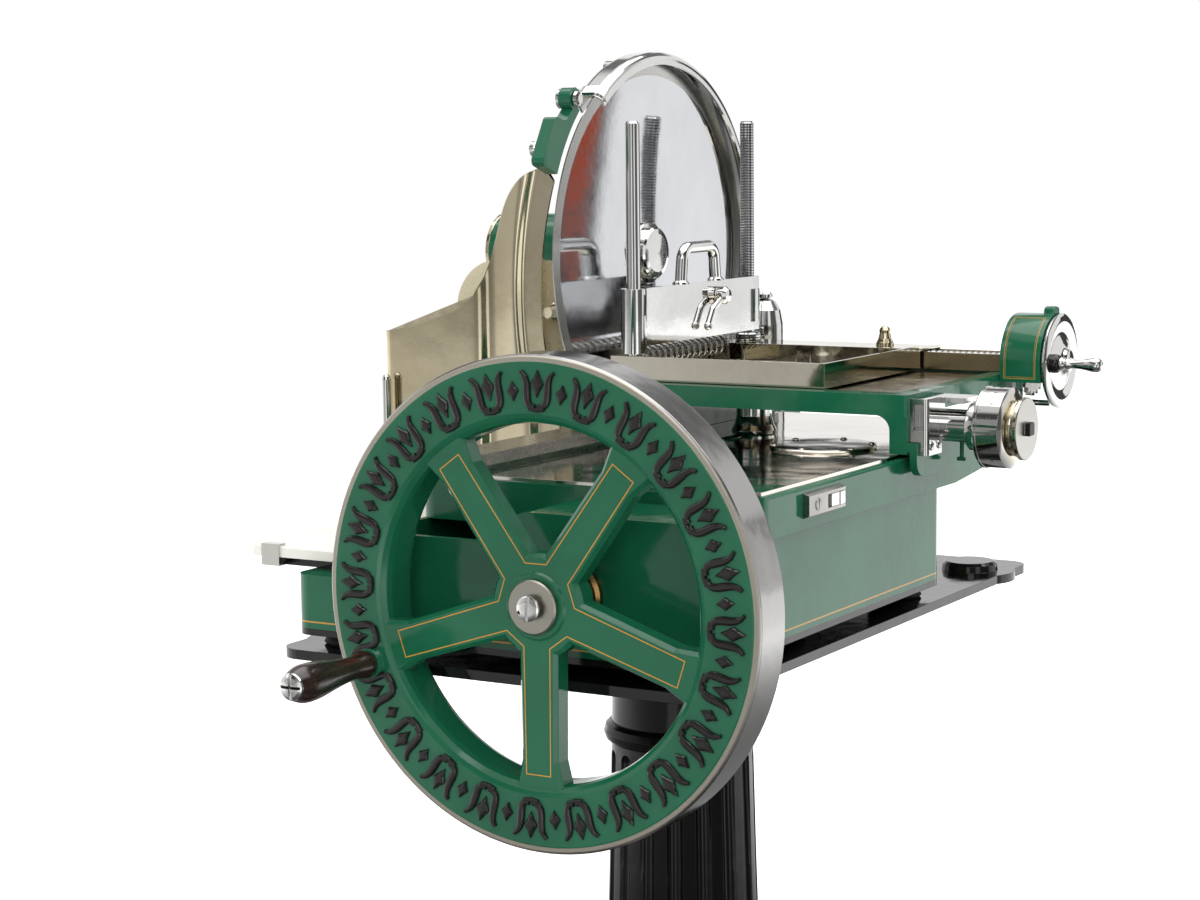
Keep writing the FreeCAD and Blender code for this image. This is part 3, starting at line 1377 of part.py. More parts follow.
# ================================================================ meat carriage
def make_carriage_frame():
    """A flat frame, its arm turned down on the right into a leg that rides on the deck."""
    low, high = frame_top - frame_depth, frame_top
    plate = prism("Z", rectangle(carriage_left, carriage_right, carriage_front, carriage_back), low, high, 3)
    inside = prism("Z", rectangle(carriage_left + bar_width, carriage_right - leg_width,
                                  carriage_front + bar_width, carriage_back - bar_width), low - 1,
                   high + 1, 8)
    plate = plate.cut(inside)
    foot_z = deck_plate_top + slide_gap
    leg = box(carriage_right - leg_width, carriage_right, carriage_front, carriage_front + leg_depth,
              foot_z, low)
    corner_x, corner_z = carriage_right - leg_width, low
    fillet_block = box(corner_x - 13, corner_x, carriage_front, carriage_front + bar_width, corner_z - 13,
                       corner_z)
    fillet_block = fillet_block.cut(rod("Y", (corner_x - 13, carriage_front - 1, corner_z - 13), 13,
                                        bar_width + 2))
    hook_back, hook_right = carriage_front + hook_length, hook_left + hook_thickness
    hook = prism("X", [(carriage_front, foot_z + 10), (carriage_front, hook_bottom), (hook_back, hook_bottom),
                       (hook_back, foot_z + 10)], hook_left, hook_right, [0, 14, 14, 0])
    pad = box(carriage_right, hook_right, carriage_front, carriage_front + leg_depth, foot_z + 2, foot_z + 10)
    return union(plate, leg, fillet_block, hook, pad)


def make_index_pin():
    """The index pin and its small tee handle, on the hook beneath the dial."""
    x, y, z = hook_left + 3, carriage_front + 68, deck_plate_top + 9
    stem = rod("X", (x, y, z), index_pin_radius, 22)
    head = lathe("X", (x + 22, y, z), [(0, 0), (0, 6.5), (5, 7.5), (9, 5), (9, 0)])
    tee = rod("Z", (x + 16, y, z - 18), 2, 18)
    foot = box(x + 12, x + 20, y - 2, y + 2, z - 20, z - 17)
    return union(stem, head, tee, foot)


def make_rail_shoe():
    """Hangs the carriage on the guide rail: a block that grips the rail's head from both sides."""
    gap = slide_gap
    outer = box(carriage_left, rail_x + rail_width / 2 + 9, carriage_front + 18, carriage_back - 12,
                deck_top + 3, frame_top - frame_depth)
    head = box(rail_x - rail_width / 2 - gap, rail_x + rail_width / 2 + gap, 0, 400, deck_top + 7 - gap,
               deck_top + rail_height + 5 + gap)
    foot = box(rail_x - 11 - gap, rail_x + 11 + gap, 0, 400, deck_top, deck_top + 8)
    return cut(outer, head, foot)


def make_guide_tray():
    """The nickel floor inside the frame; its slot and stub hold the driving post."""
    tray = box(carriage_left + bar_width, carriage_right - leg_width, carriage_front + bar_width + 0.01,
               strip_front + 4, frame_top - 4, frame_top - 2)
    corner = 8.5
    for x in (carriage_left + bar_width, carriage_right - leg_width - corner):
        tray = tray.cut(box(x, x + corner, carriage_front + bar_width, carriage_front + bar_width + corner,
                            frame_top - 5, frame_top))
    return tray


def make_drive_post():
    """A bell shaped post under the tray; its pin drops through the deck's slot to the rod's eye."""
    x, y = lug_x, lug_y
    top = frame_top - 4
    z = deck_plate_top + 0.7
    bell = lathe("Z", (x, y, 0), [(z, 0), (z, 20), (z + 3, 20.5), (z + 8, 18), (z + 16, 16), (top - 5, 16),
                                  (top - 3, 19), (top, 19), (top, 0)])
    pin = rod("Z", (x, y, z), crank_pin_radius, rod_bottom + rod_thickness + 1 - z)
    return union(bell, pin)


def make_screw_trough():
    """The channel along the carriage's back in which the feed screw turns."""
    x0, x1 = trough_left, carriage_right - 7
    y0, y1 = trough_front, trough_back
    low, high = frame_top + 0.3, strip_under - 1
    outer = box(x0, x1, y0, y1, low, high)
    inner = box(x0 + 4, x1 + 1, y0 + 2, y1 - 2, low + 2, high + 1)
    feet = box(x0 + 4, x1 - 4, carriage_back - bar_width + 1, carriage_back - 9, frame_top, low)
    trough = union(outer.cut(inner), feet)
    return trough.cut(rod("X", (x0 - 1, feed_y, feed_z), feed_screw_radius + running_gap, 6))


def make_feed_drum():
    """A round housing on the carriage's right side with a lug on top."""
    x0, x1 = carriage_right, feed_drum_end
    profile = [(x0, 0), (x0, feed_drum_radius - 2), (x0 + 2, feed_drum_radius), (x1, feed_drum_radius),
               (x1, feed_drum_radius - 4), (x0 + 4, feed_drum_radius - 4), (x0 + 4, 0)]
    drum = lathe("X", (0, feed_y, feed_z), profile)
    lug = prism("X", [(feed_y - 10, feed_z + feed_drum_radius - 3),
                      (feed_y + 10, feed_z + feed_drum_radius - 3),
                      (feed_y + 8, feed_z + feed_drum_radius + 8),
                      (feed_y - 8, feed_z + feed_drum_radius + 8)], x1 - 16, x1, [0, 0, 5, 5])
    lug = lug.cut(rod("X", (x0, feed_y, feed_z), feed_drum_radius - 1, 60))
    drum = union(drum, lug)
    hole = rod("X", (x0 - 1, feed_y, feed_z), feed_screw_radius + running_gap, 8)
    return drum.cut(hole)


def make_feed_pawl():
    """The sprung pawl under the housing."""
    y, z = feed_y - 6, feed_z - feed_drum_radius - 0.2
    body = prism("X", [(y - 15, z), (y + 15, z), (y + 12, z - 13), (y - 10, z - 16)], carriage_right + 9,
                 feed_drum_end - 3, [0, 0, 3, 5])
    crown = rod("X", (carriage_right, feed_y, feed_z), feed_drum_radius - 1, 60)
    body = union(body, box(carriage_right + 12, feed_drum_end - 8, y - 10, y + 12, z - 1, z + 4)).cut(crown)
    stud = rod("X", (feed_drum_end - 3, y - 4, z - 7), 3.4, 7)
    return union(body, stud)


save("carriage_frame", union(make_carriage_frame(), make_index_pin()))
save("rail_shoe", make_rail_shoe())
save("guide_tray", make_guide_tray())
save("drive_post", make_drive_post())
save("screw_trough", make_screw_trough())
save("feed_drum", union(make_feed_drum(), make_feed_pawl()))


# ================================================================ feed screw and its crank
def make_feed_screw():
    """The long screw; rings stand for its thread, so that the nut runs clear of it."""
    x0 = trough_left + 0.5
    screw_rod = rod("X", (x0, feed_y, feed_z), feed_screw_radius, feed_drum_end + 4 - x0)
    thread_start, thread_end = x0 + 8, carriage_right - 14
    count = int((thread_end - thread_start) / feed_thread_pitch)
    grooves = []
    for i in range(count):
        x = thread_start + i * feed_thread_pitch
        ring = lathe("X", (x, feed_y, feed_z), [(0, feed_screw_radius + 1), (0, feed_screw_radius),
                                                (feed_thread_pitch * 0.34, feed_screw_radius - 1.5),
                                                (feed_thread_pitch * 0.68, feed_screw_radius),
                                                (feed_thread_pitch * 0.68, feed_screw_radius + 1)])
        grooves.append(ring)
    return screw_rod.cut(Part.makeCompound(grooves))


def make_ratchet():
    """A ratchet wheel inside the housing."""
    x = carriage_right + 10
    teeth = 24
    r = feed_drum_radius - 10
    corners = []
    for i in range(teeth):
        for share, radius in ((0.0, r), (0.78, r - 4.2)):
            _, y, z = polar("X", (0, feed_y, feed_z), radius, (i + share) * 360 / teeth)
            corners.append((y, z))
    wheel = prism("X", corners, x, x + 8)
    hub = rod("X", (x - 4, feed_y, feed_z), 13, 22)
    return union(wheel, hub).cut(rod("X", (x - 6, feed_y, feed_z), feed_screw_radius, 30))


def make_feed_crank():
    """The chrome crank disc that closes the housing, with a swirl of relief around its boss."""
    x0 = feed_drum_end + 0.6
    r = feed_drum_radius - 2
    disc = lathe("X", (0, feed_y, feed_z), [(x0, 0), (x0, r), (x0 + 3, r + 0.5), (x0 + 6, r - 2),
                                            (x0 + 7.5, r - 8), (x0 + 6, r - 15), (x0 + 6.5, 15),
                                            (x0 + 10, 11), (x0 + 12, 9), (x0 + 12, 0)])
    ridge = prism("X", [(feed_y - 36, feed_z - 9), (feed_y, feed_z - 12), (feed_y, feed_z + 12),
                        (feed_y - 36, feed_z + 9)], x0 + 2, x0 + 9, [9, 0, 0, 9])
    disc = union(disc, ridge)
    return disc.cut(rod("X", (x0 - 1, feed_y, feed_z), feed_screw_radius, 4.5))


def make_feed_collar():
    x0 = feed_drum_end + 9.6
    return lathe("X", (x0, feed_y - feed_handle_radius, feed_z), [(0, 0), (0, 8), (3, 8.6), (7, 8), (9, 6),
                                                                  (9, 0)])


def make_feed_handle():
    x0 = feed_drum_end + 18.4
    shape = [(0, 5), (3, 6.4), (7, 5), (14, 4.2), (24, 4.8), (31, 6.6), (36, 7.6), (41, 7.0), (45, 4.4),
             (46.5, 0.01)]
    return lathe("X", (x0, feed_y - feed_handle_radius, feed_z), shape, smooth=True)


save("feed_screw", union(make_feed_screw(), make_ratchet()))
save("feed_crank", union(make_feed_crank(), make_feed_collar(), make_feed_handle()))


# ================================================================ thickness dial and the lip's latch
def make_dial_block():
    """A chrome block on the leg with a sighting window, and the sleeve that the dial turns on."""
    x0 = carriage_right
    low, high = dial_z - 23, dial_z + 25
    thick = prism("Z", rectangle(x0, x0 + 17, carriage_front + 4, carriage_front + 36), low, high,
                  [0, 4, 2, 0])
    flat = box(x0, x0 + 9, carriage_front + 36, carriage_front + 60, low + 6, high)
    window = box(x0 + 4, x0 + 13, carriage_front, carriage_front + 16, dial_z - 2, dial_z + 20)
    sleeve = rod("X", (x0 + 8, dial_y, dial_z), 14, dial_start - x0 - 8.6)
    plate = box(x0 + 8, dial_start - 2, dial_y - 14, dial_y + 16, high - 5, high)
    block = union(thick.cut(window), flat, sleeve, plate)
    hook_room = box(x0 - 1, hook_left + hook_thickness + slide_gap, carriage_front - 1,
                    carriage_front + hook_length + 1, low - 1, deck_plate_top + 10 + 2 * slide_gap)
    return cut(block, hook_room, rod("X", (x0 - 1, dial_y, dial_z), 7 + running_gap, 60))


def make_block_screws():
    x = carriage_right + 17
    return [screw("X", (x, carriage_front + y, dial_z - 15), 4, 1.8) for y in (12, 28)]


def make_dial():
    """The fluted barrel with its raised rim, the groove behind the disc and the square stud."""
    s = dial_start
    r = dial_radius
    profile = [(s, 0), (s, r - 1.5), (s + 1.5, r), (s + 24, r), (s + 27, r - 3), (s + 31, r - 10),
               (s + 33.5, 19), (s + 36, 19.5), (s + 39, 25.5), (s + 40.5, 26.5), (s + 46, 26.5),
               (s + 48, 24.5), (s + 48, 0)]
    barrel = lathe("X", (0, dial_y, dial_z), profile)
    flutes = []
    for i in range(dial_flutes):
        _, y, z = polar("X", (0, dial_y, dial_z), r + 3.4, 20 + 13.0 * i)
        flutes.append(rod("X", (s + 6, y, z), 4.6, 15))
    barrel = cut(barrel, Part.makeCompound(flutes))
    stud = box(s + 48, s + 56, dial_y - 4.5, dial_y + 4.5, dial_z - 4.5, dial_z + 4.5)
    spindle = rod("X", (s, dial_y, dial_z), 7, -(s - carriage_right - 0.5))
    return union(barrel, stud, spindle)


def make_latch_plate():
    y0, y1 = latch_front, latch_front + 66
    body = prism("Y", [(deck_right, latch_z - 10), (deck_right + 5.6, latch_z - 8),
                       (deck_right + 5.6, latch_z + 8), (deck_right, latch_z + 10)], y0, y1)
    track = box(deck_right + 3, deck_right + 7, y0 + 34, y1 + 1, latch_z - 5.4, latch_z + 5.4)
    return body.cut(track)


def make_latch_screw():
    return screw("X", (deck_right + 5.6, latch_front + 16, latch_z), 5, 1.0)


def make_latch_slide():
    gap = slide_gap
    y0 = latch_front + 46
    tongue = box(deck_right + 3 + gap, deck_right + 5.9, y0 - 6, y0 + 19, latch_z - 5.4 + gap,
                 latch_z + 5.4 - gap)
    grip = box(deck_right + 3 + gap, deck_right + 6.5, y0 + 9, y0 + 15, latch_z - 5.4 + gap,
               latch_z + 5.4 - gap)
    return union(tongue, grip)


save("dial_block", union(make_dial_block(), *make_block_screws()))
save("thickness_dial", make_dial())
save("latch_plate", union(make_latch_plate(), make_latch_screw()))
save("latch_slide", make_latch_slide())


# ================================================================ meat table
def make_table():
    """A shallow nickel pan whose back turns up, over the screw's channel, and down again."""
    x0, x1, y0, y1 = table_left, table_right, table_front, table_back
    low, high = frame_top + 0.5, table_top
    t = 2.0
    profile = [(y0, high), (y0, low), (strip_front, low), (strip_front, strip_under), (y1 - t, strip_under),
               (y1 - t, low), (y1, low), (y1, strip_under + t), (strip_front - t, strip_under + t),
               (strip_front - t, low + t), (y0 + t, low + t), (y0 + t, high)]
    body = prism("X", profile, x0, x1)
    sides = []
    for x in (x0, x1 - t):
        sides.append(box(x, x + t, y0, strip_front - t + 0.01, low, high - (0 if x > 0 else 3)))
    return union(body, *sides)


def make_feed_nut():
    y0, y1 = feed_y - 11, feed_y + 11
    body = box(20, 46, y0, y1, frame_top + 3.2, strip_under)
    body = body.cut(rod("X", (19, feed_y, feed_z), feed_screw_radius + running_gap, 30))
    return body.cut(box(19, 50, feed_y - 4, feed_y + 4, feed_z + 2, strip_under + 1))


def make_bell_nut():
    x, y, z = 62, 292, strip_under + 2
    nut = lathe("Z", (x, y, z), [(0, 0), (0, 8.5), (2, 8.5), (6, 6.4), (11, 5.2), (14, 5.6), (16.5, 4),
                                 (18, 1.6), (18, 0)])
    grooves = [rod("Z", (*polar("Z", (x, y, 0), 9.6, 90 * i)[:2], z + 3), 3, 20) for i in range(4)]
    return cut(nut, *grooves)


def make_spikes():
    z = frame_top + 2.5
    spots = [(50, table_front + 14 + 29 * i) for i in range(4)]
    spots = spots + [(0, table_front + 14 + 27 * i) for i in range(3)]
    cones = []
    for x, y in spots:
        foot = rod("Z", (x, y, z), 2.6, 1.5)
        cones.append(foot.fuse(Part.makeCone(1.8, 0.25, 15, V(x, y, z + 1.5), V(0, 0, 1))))
    return cones


def make_posts():
    """Two upright posts; the rear one is cut with rack teeth on its front."""
    z = frame_top + 2.5
    post_a = lathe("Z", (post_x, post_a_y, 0), [(z, 0), (z, post_radius), (post_top - 2, post_radius),
                                                (post_top, post_radius - 1.4), (post_top, 0)])
    post_b = lathe("Z", (post_x, post_b_y, 0), [(strip_under + 2, 0), (strip_under + 2, post_radius),
                                                (post_top - 2, post_radius), (post_top, post_radius - 1.4),
                                                (post_top, 0)])
    teeth = []
    count = int((post_top - 16 - rack_low) / rack_pitch)
    for i in range(count):
        low = rack_low + i * rack_pitch
        y = post_b_y - post_radius
        teeth.append(prism("X", [(y - 1, low), (y + rack_depth, low + rack_pitch * 0.3),
                                 (y + rack_depth, low + rack_pitch * 0.5),
                                 (y - 1, low + rack_pitch * 0.8)], post_x - 6, post_x + 6))
    return [post_a, cut(post_b, Part.makeCompound(teeth))]


def make_post_rings():
    """The rings that clamp the posts' feet to the pan and to the strip behind it."""
    low_a, low_b = frame_top + 2.5, strip_under + 2
    pan_wall = box(post_x - 20, post_x + 20, table_front - 20, table_front + 2, low_a - 1, low_a + 20)
    rings = []
    for y, z, h in ((post_a_y, low_a, 10.0), (post_b_y, low_b, 9.0)):
        ring = lathe("Z", (post_x, y, z), [(0, 0), (0, 12), (2, 12.5), (h - 2, 12.5), (h, 11), (h, 0)])
        rings.append(ring.cut(pan_wall))
    return rings


def make_table_spring():
    """A stiff coil spring that lies along the pan under the clamp and presses the meat's foot."""
    length = spring_back - spring_front
    helix = Part.makeHelix(length / spring_turns, length, spring_radius)
    profile = Part.Wire(Part.makeCircle(spring_wire, V(spring_radius, 0, 0), V(0, 1, 0)))
    coil = Part.Wire(helix).makePipeShell([profile], True, True)
    coil.rotate(V(0, 0, 0), V(1, 0, 0), -90)
    coil.translate(V(spring_x, spring_front, spring_z))
    return coil


def make_spring_rod():
    y0, y1 = spring_front - 6, spring_back + 6
    bar = rod("Y", (spring_x, y0, spring_z), 3.2, y1 - y0)
    low = frame_top + 2.5
    ends = []
    for y in (y0, y1 - 4):
        ends.append(prism("Y", [(spring_x - 8, low), (spring_x + 8, low), (spring_x + 6, spring_z + 7),
                                (spring_x - 6, spring_z + 7)], y, y + 4, [0, 0, 4, 4]))
    return union(bar, *ends)


save("meat_table", union(make_table(), *make_spikes()))
save("feed_nut", union(make_feed_nut(), make_bell_nut()))
post_pairs = [post.fuse(ring) for post, ring in zip(make_posts(), make_post_rings())]
save("clamp_posts", Part.makeCompound(post_pairs))
save("table_spring", Part.makeCompound([make_table_spring(), make_spring_rod()]))


# ================================================================ meat clamp
def make_clamp():
    """The pusher plate with a sleeve on each post."""
    low, high = clamp_top - clamp_height, clamp_top
    x0, x1 = clamp_x - 1, clamp_x + 2
    plate = box(x0, x1, post_a_y + 5, post_b_y + 9, low, high)
    sleeve_a = rod("Z", (post_x, post_a_y, low - 6), sleeve_radius, high - low + 6)
    sleeve_b = rod("Z", (post_x, post_b_y, low + 8), sleeve_radius, high - low - 20)
    clamp = union(plate, sleeve_a, sleeve_b)
    bores = [rod("Z", (post_x, y, low - 20), post_radius + running_gap, 120) for y in (post_a_y, post_b_y)]
    slot = box(post_x + 2, post_x + 12, post_a_y - 1.6, post_a_y + 1.6, high - 24, high - 5)
    return cut(clamp, slot, *bores)


def bent_rod(points, bends, radius):
    """A round bar along a polyline in the plane of the points, with rounded bends."""
    corners = [V(*p) for p in points]
    edges = []
    start = corners[0]
    for i in range(1, len(corners) - 1):
        here = corners[i]
        back = (corners[i - 1] - here).normalize()
        ahead = (corners[i + 1] - here).normalize()
        turn = back.getAngle(ahead)
        reach = bends / math.tan(turn / 2)
        bisector = (back + ahead).normalize()
        middle = here + bisector * (bends / math.sin(turn / 2) - bends)
        edges.append(Part.makeLine(start, here + back * reach))
        edges.append(Part.Arc(here + back * reach, middle, here + ahead * reach).toShape())
        start = here + ahead * reach
    edges.append(Part.makeLine(start, corners[-1]))
    path = Part.Wire(edges)
    direction = (corners[1] - corners[0]).normalize()
    profile = Part.Wire(Part.makeCircle(radius, corners[0], direction))
    return path.makePipeShell([profile], True, True)


def make_bail():
    x = clamp_x + 0.5
    z = clamp_top
    y0, y1 = 139.5, 207.5
    bar = bent_rod([(x, y0, z), (x, y0 + 4, z + 33), (x, y1 - 4, z + 33), (x, y1, z)], 13, bail_radius)
    feet = [lathe("Z", (x, y, z), [(0, 0), (0, 8), (2, 7.4), (3.4, 5.8), (3.4, 0)]) for y in (y0, y1)]
    return union(bar, *feet).cut(box(x - 20, x + 20, y0 - 20, y1 + 20, z - 10, z))


def make_clamp_lever():
    """The release lever: a boss on the plate and a finger that hangs down and forward."""
    x0 = clamp_x + 2.3
    y, z = lever_y, lever_z
    boss = lathe("X", (x0, y, z), [(0, 0), (0, 8), (0.8, 8.4), (9, 8.4), (12, 6), (12.6, 0)])
    finger = bent_rod([(x0 + 6.4, y - 3, z - 2), (x0 + 6.4, y - 20, z - 10), (x0 + 6.4, y - 31, z - 27)],
                      12, 3.4)
    tip = Part.makeSphere(3.9, V(x0 + 6.4, y - 31, z - 27))
    return union(boss, finger, tip)


def make_lever_stop():
    x0 = clamp_x + 2
    y, z = lever_y - 14, lever_z + 3
    return lathe("X", (x0, y, z), [(0, 0), (0, 5), (6, 4.4), (7, 3), (7, 0)])


save("clamp_plate", union(make_clamp(), make_lever_stop()))
save("bail_handle", make_bail())
save("clamp_lever", make_clamp_lever())
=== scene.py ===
"""A hand crank meat slicer with a flywheel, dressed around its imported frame.

Blender works in metres.  Places and sizes of the object are written in millimetres and turned by MM; the
studio around it is written in metres.
"""
import json
import math
import bpy
import bmesh
from mathutils import Matrix, Vector


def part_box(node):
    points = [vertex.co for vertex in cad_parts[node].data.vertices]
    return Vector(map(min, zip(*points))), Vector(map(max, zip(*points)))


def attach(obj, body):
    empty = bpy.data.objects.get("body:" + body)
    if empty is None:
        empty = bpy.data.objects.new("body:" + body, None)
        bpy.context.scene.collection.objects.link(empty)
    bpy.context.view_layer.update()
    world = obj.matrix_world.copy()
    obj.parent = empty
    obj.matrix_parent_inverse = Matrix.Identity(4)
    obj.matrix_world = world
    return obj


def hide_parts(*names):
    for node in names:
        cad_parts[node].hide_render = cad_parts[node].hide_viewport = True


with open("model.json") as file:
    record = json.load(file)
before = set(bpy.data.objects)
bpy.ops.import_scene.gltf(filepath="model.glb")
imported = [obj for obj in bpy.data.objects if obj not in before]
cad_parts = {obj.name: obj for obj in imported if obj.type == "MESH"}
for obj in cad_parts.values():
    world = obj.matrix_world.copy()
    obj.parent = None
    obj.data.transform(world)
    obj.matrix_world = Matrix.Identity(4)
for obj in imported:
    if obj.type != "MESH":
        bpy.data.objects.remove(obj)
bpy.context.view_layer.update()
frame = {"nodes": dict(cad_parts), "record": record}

scene = bpy.context.scene
MM = 0.001

# ---------------------------------------------------------------- places, in millimetres, from the solids
WHEEL_X, WHEEL_Z, WHEEL_FACE_Y = 78.0, 851.0, -364.5
WHEEL_FACE_RADIUS = 180.0            # outside it the wheel is bare steel
SPOKE_FACE_Y = WHEEL_FACE_Y + 2.5
SPOKES = 5
HUB_FACE_Y = -373.1
HANDLE_ANGLE = 200.6                 # direction of the grip's boss on the rim, in degrees
KNIFE_Y, KNIFE_Z, KNIFE_RADIUS = 185.0, 1082.0, 180.0
GROUND_WIDTH = 14.0                  # width of the ground band at the knife's rim
BASE_FOOT_Z = 798.0
FEED_Y, FEED_Z, FEED_RADIUS = 284.0, 984.5, 43.0
FEED_LEFT, FEED_RIGHT = 197.0, 236.0
DIAL_Y, DIAL_Z, DIAL_RADIUS, DIAL_START = 76.0, 946.0, 34.0, 240.0
DIAL_FLUTES, DIAL_FLUTE_START, DIAL_FLUTE_PITCH = 6, 20.0, 13.0
DIAL_NUMBERS, DIAL_ZERO, DIAL_NUMBER_PITCH = 12, -138.0, 22.5
PINS_Z = 854.6                       # the edge pins stand above this height
CLIP_Y = -278.5                      # the slab's clip lies in front of this place
STONE_LEFT, STONE_RIGHT = -150.7, -143.3
GRIP_Z, GRIP_CAP_Y = 795.1, -463.7
RACK_PITCH = 2.6
LINE_THICK = 0.12                    # a painted line or an etched mark
SUNK_IN_FLAT, SUNK_IN_ROUND = 0.02, 0.05     # how deep its underside lies in a flat or a round surface


# ---------------------------------------------------------------- short ways to wire up nodes
def linear(r, g, b):
    """A colour as it shows on screen, from 0 to 255, turned into the light a shader works in."""
    parts = []
    for value in (r, g, b):
        c = value / 255
        parts.append(c / 12.92 if c <= 0.04045 else ((c + 0.055) / 1.055) ** 2.4)
    return (*parts, 1.0)


class Wiring:
    """Adds nodes to a tree.  A value is a plain number or colour, or the socket that it comes from."""

    def __init__(self, tree, ramp="LINEAR"):
        self.tree = tree
        self.ramp = ramp

    def feed(self, socket, value):
        if isinstance(value, bpy.types.NodeSocket):
            self.tree.links.new(value, socket)
        else:
            socket.default_value = value

    def node(self, kind, settings=None, **inputs):
        """A new node.  Its inputs go by name, or by number as i_0, i_1 and so on."""
        made = self.tree.nodes.new(kind)
        for key, value in (settings or {}).items():
            setattr(made, key, value)
        for key, value in inputs.items():
            self.feed(made.inputs[int(key[2:]) if key.startswith("i_") else key], value)
        return made

    def math(self, operation, a, b=0.0):
        return self.node("ShaderNodeMath", {"operation": operation}, i_0=a, i_1=b).outputs[0]

    def product(self, a, b):
        return self.math("MULTIPLY", a, b)

    def vector(self, operation, a, b, result):
        return self.node("ShaderNodeVectorMath", {"operation": operation}, i_0=a, i_1=b).outputs[result]

    def axes(self, place):
        return self.node("ShaderNodeSeparateXYZ", Vector=place).outputs

    def span(self, value, low, high, to_low=0.0, to_high=1.0):
        """Goes from to_low to to_high while value goes from low to high, and stays level outside."""
        ends = {"From Min": low, "From Max": high, "To Min": to_low, "To Max": to_high}
        made = self.node("ShaderNodeMapRange", {"interpolation_type": self.ramp}, Value=value, **ends)
        return made.outputs["Result"]

    def between(self, value, low, high, soft):
        """1 where low < value < high, with edges that reach soft to both sides."""
        return self.product(self.span(value, low - soft, low + soft),
                            self.span(value, high - soft, high + soft, 1.0, 0.0))

    def mix(self, share, a, b):
        """The colour a, turned into b by the share."""
        return self.node("ShaderNodeMix", {"data_type": "RGBA"}, i_0=share, i_6=a, i_7=b).outputs[2]

    def blend(self, share, a, b):
        """The same for plain numbers."""
        return self.node("ShaderNodeMix", {"data_type": "FLOAT"}, i_0=share, i_2=a, i_3=b).outputs[0]


class Shader(Wiring):
    """A principled material.  Its noise and its places are in the object's own metres."""

    def __init__(self, name, metallic=0.0, ramp="LINEAR"):
        self.material = bpy.data.materials.new(name)
        self.material.use_nodes = True
        super().__init__(self.material.node_tree, ramp)
        self.main = self.tree.nodes["Principled BSDF"]
        self.put("Metallic", metallic)
        self.put("IOR", 1.5)
        self.place = self.node("ShaderNodeTexCoord").outputs["Object"]
        self.place_axes = None
        self.normal = None

    def put(self, name, value):
        self.feed(self.main.inputs[name], value)

    def axis(self, letter):
        if self.place_axes is None:
            self.place_axes = self.axes(self.place)
        return self.place_axes[letter]

    def radius_about(self, letters, a, b):
        """Distance, in metres, from an axis that crosses the plane of two letters at a, b, in millimetres."""
        squares = []
        for letter, middle in zip(letters, (a, b)):
            away = self.math("SUBTRACT", self.axis(letter), middle * MM)
            squares.append(self.product(away, away))
        return self.math("SQRT", self.math("ADD", *squares))

    def noise(self, scale, detail, rough=0.55, place=None):
        return self.node("ShaderNodeTexNoise", Vector=place or self.place, Scale=scale, Detail=detail,
                         Roughness=rough).outputs["Fac"]

    def grain(self, scales, detail, rough):
        """Noise with a scale of its own along each axis."""
        return self.noise(1.0, detail, rough, self.vector("MULTIPLY", self.place, scales, 0))

    def streaks(self, x, y, detail):
        """Noise that changes with two values in place of the three axes."""
        return self.noise(1.0, detail, 0.7, self.node("ShaderNodeCombineXYZ", X=x, Y=y, Z=0.0).outputs[0])

    def soften(self, radius):
        """Rounds the look of sharp edges."""
        self.normal = self.node("ShaderNodeBevel", {"samples": 4}, Radius=radius).outputs["Normal"]

    def bump(self, height, depth, strength):
        settings = {"Height": height, "Distance": depth, "Strength": strength}
        if self.normal is not None:
            settings["Normal"] = self.normal
        self.normal = self.node("ShaderNodeBump", **settings).outputs["Normal"]

    def done(self, colour, rough):
        self.put("Base Color", colour)
        self.put("Roughness", rough)
        if self.normal is not None:
            self.put("Normal", self.normal)
        return self.material


# ---------------------------------------------------------------- materials
GREEN, GREEN_SHADE = linear(25, 96, 67), linear(20, 86, 59)
BLACK, BLACK_SHADE = linear(20, 19, 18), linear(14, 13, 13)
GOLD, GOLD_SHADE = linear(196, 146, 58), linear(178, 128, 44)
NICKEL, NICKEL_DULL = linear(210, 199, 172), linear(190, 178, 148)
CHROME, CHROME_DULL = linear(226, 226, 225), linear(206, 205, 202)


def enamel(name, body, shade, paint=None, edge=0.0007, gloss=0.1):
    """Thick glossy enamel over a casting: slow waves, fine peel, clouding; paint changes parts of it."""
    s = Shader(name)
    colour = s.mix(s.span(s.noise(14, 4), 0.35, 0.65), body, shade)
    rough = s.span(s.noise(60, 5), 0.3, 0.7, gloss * 0.55, gloss * 1.7)
    if paint:
        colour, rough = paint(s, colour, rough)
    s.soften(edge)
    s.bump(s.noise(26, 2), 0.0011, 0.35)
    s.bump(s.noise(420, 2), 0.00006, 0.35)
    return s.done(colour, rough)


def metal(name, bright, dull, gloss, spread, wave, lines=(160, 160, 160), edge=0.0004, stains=None,
          paint=None):
    """Plated or bare metal: clouded tone, wiped roughness, waves from hand polishing, fine scratches."""
    s = Shader(name, metallic=1.0)
    colour = s.mix(s.span(s.noise(9, 5, 0.6), 0.35, 0.7), bright, dull)
    if stains:
        strength, tone = stains
        patch = s.span(s.noise(55, 6, 0.7), 0.60, 0.74)
        colour = s.mix(s.product(patch, strength), colour, tone)
    rough = s.span(s.noise(30, 6, 0.7), 0.3, 0.72, gloss, gloss + spread)
    scratches = s.grain(lines, 3, 0.6)
    rough = s.math("ADD", rough, s.span(scratches, 0.3, 0.8, -0.015, 0.03))
    if paint:
        colour, rough = paint(s, colour, rough)
    if edge:
        s.soften(edge)
    s.bump(s.noise(11, 2), 0.0016, wave)
    s.bump(scratches, 0.00004, 0.4)
    return s.done(colour, rough)


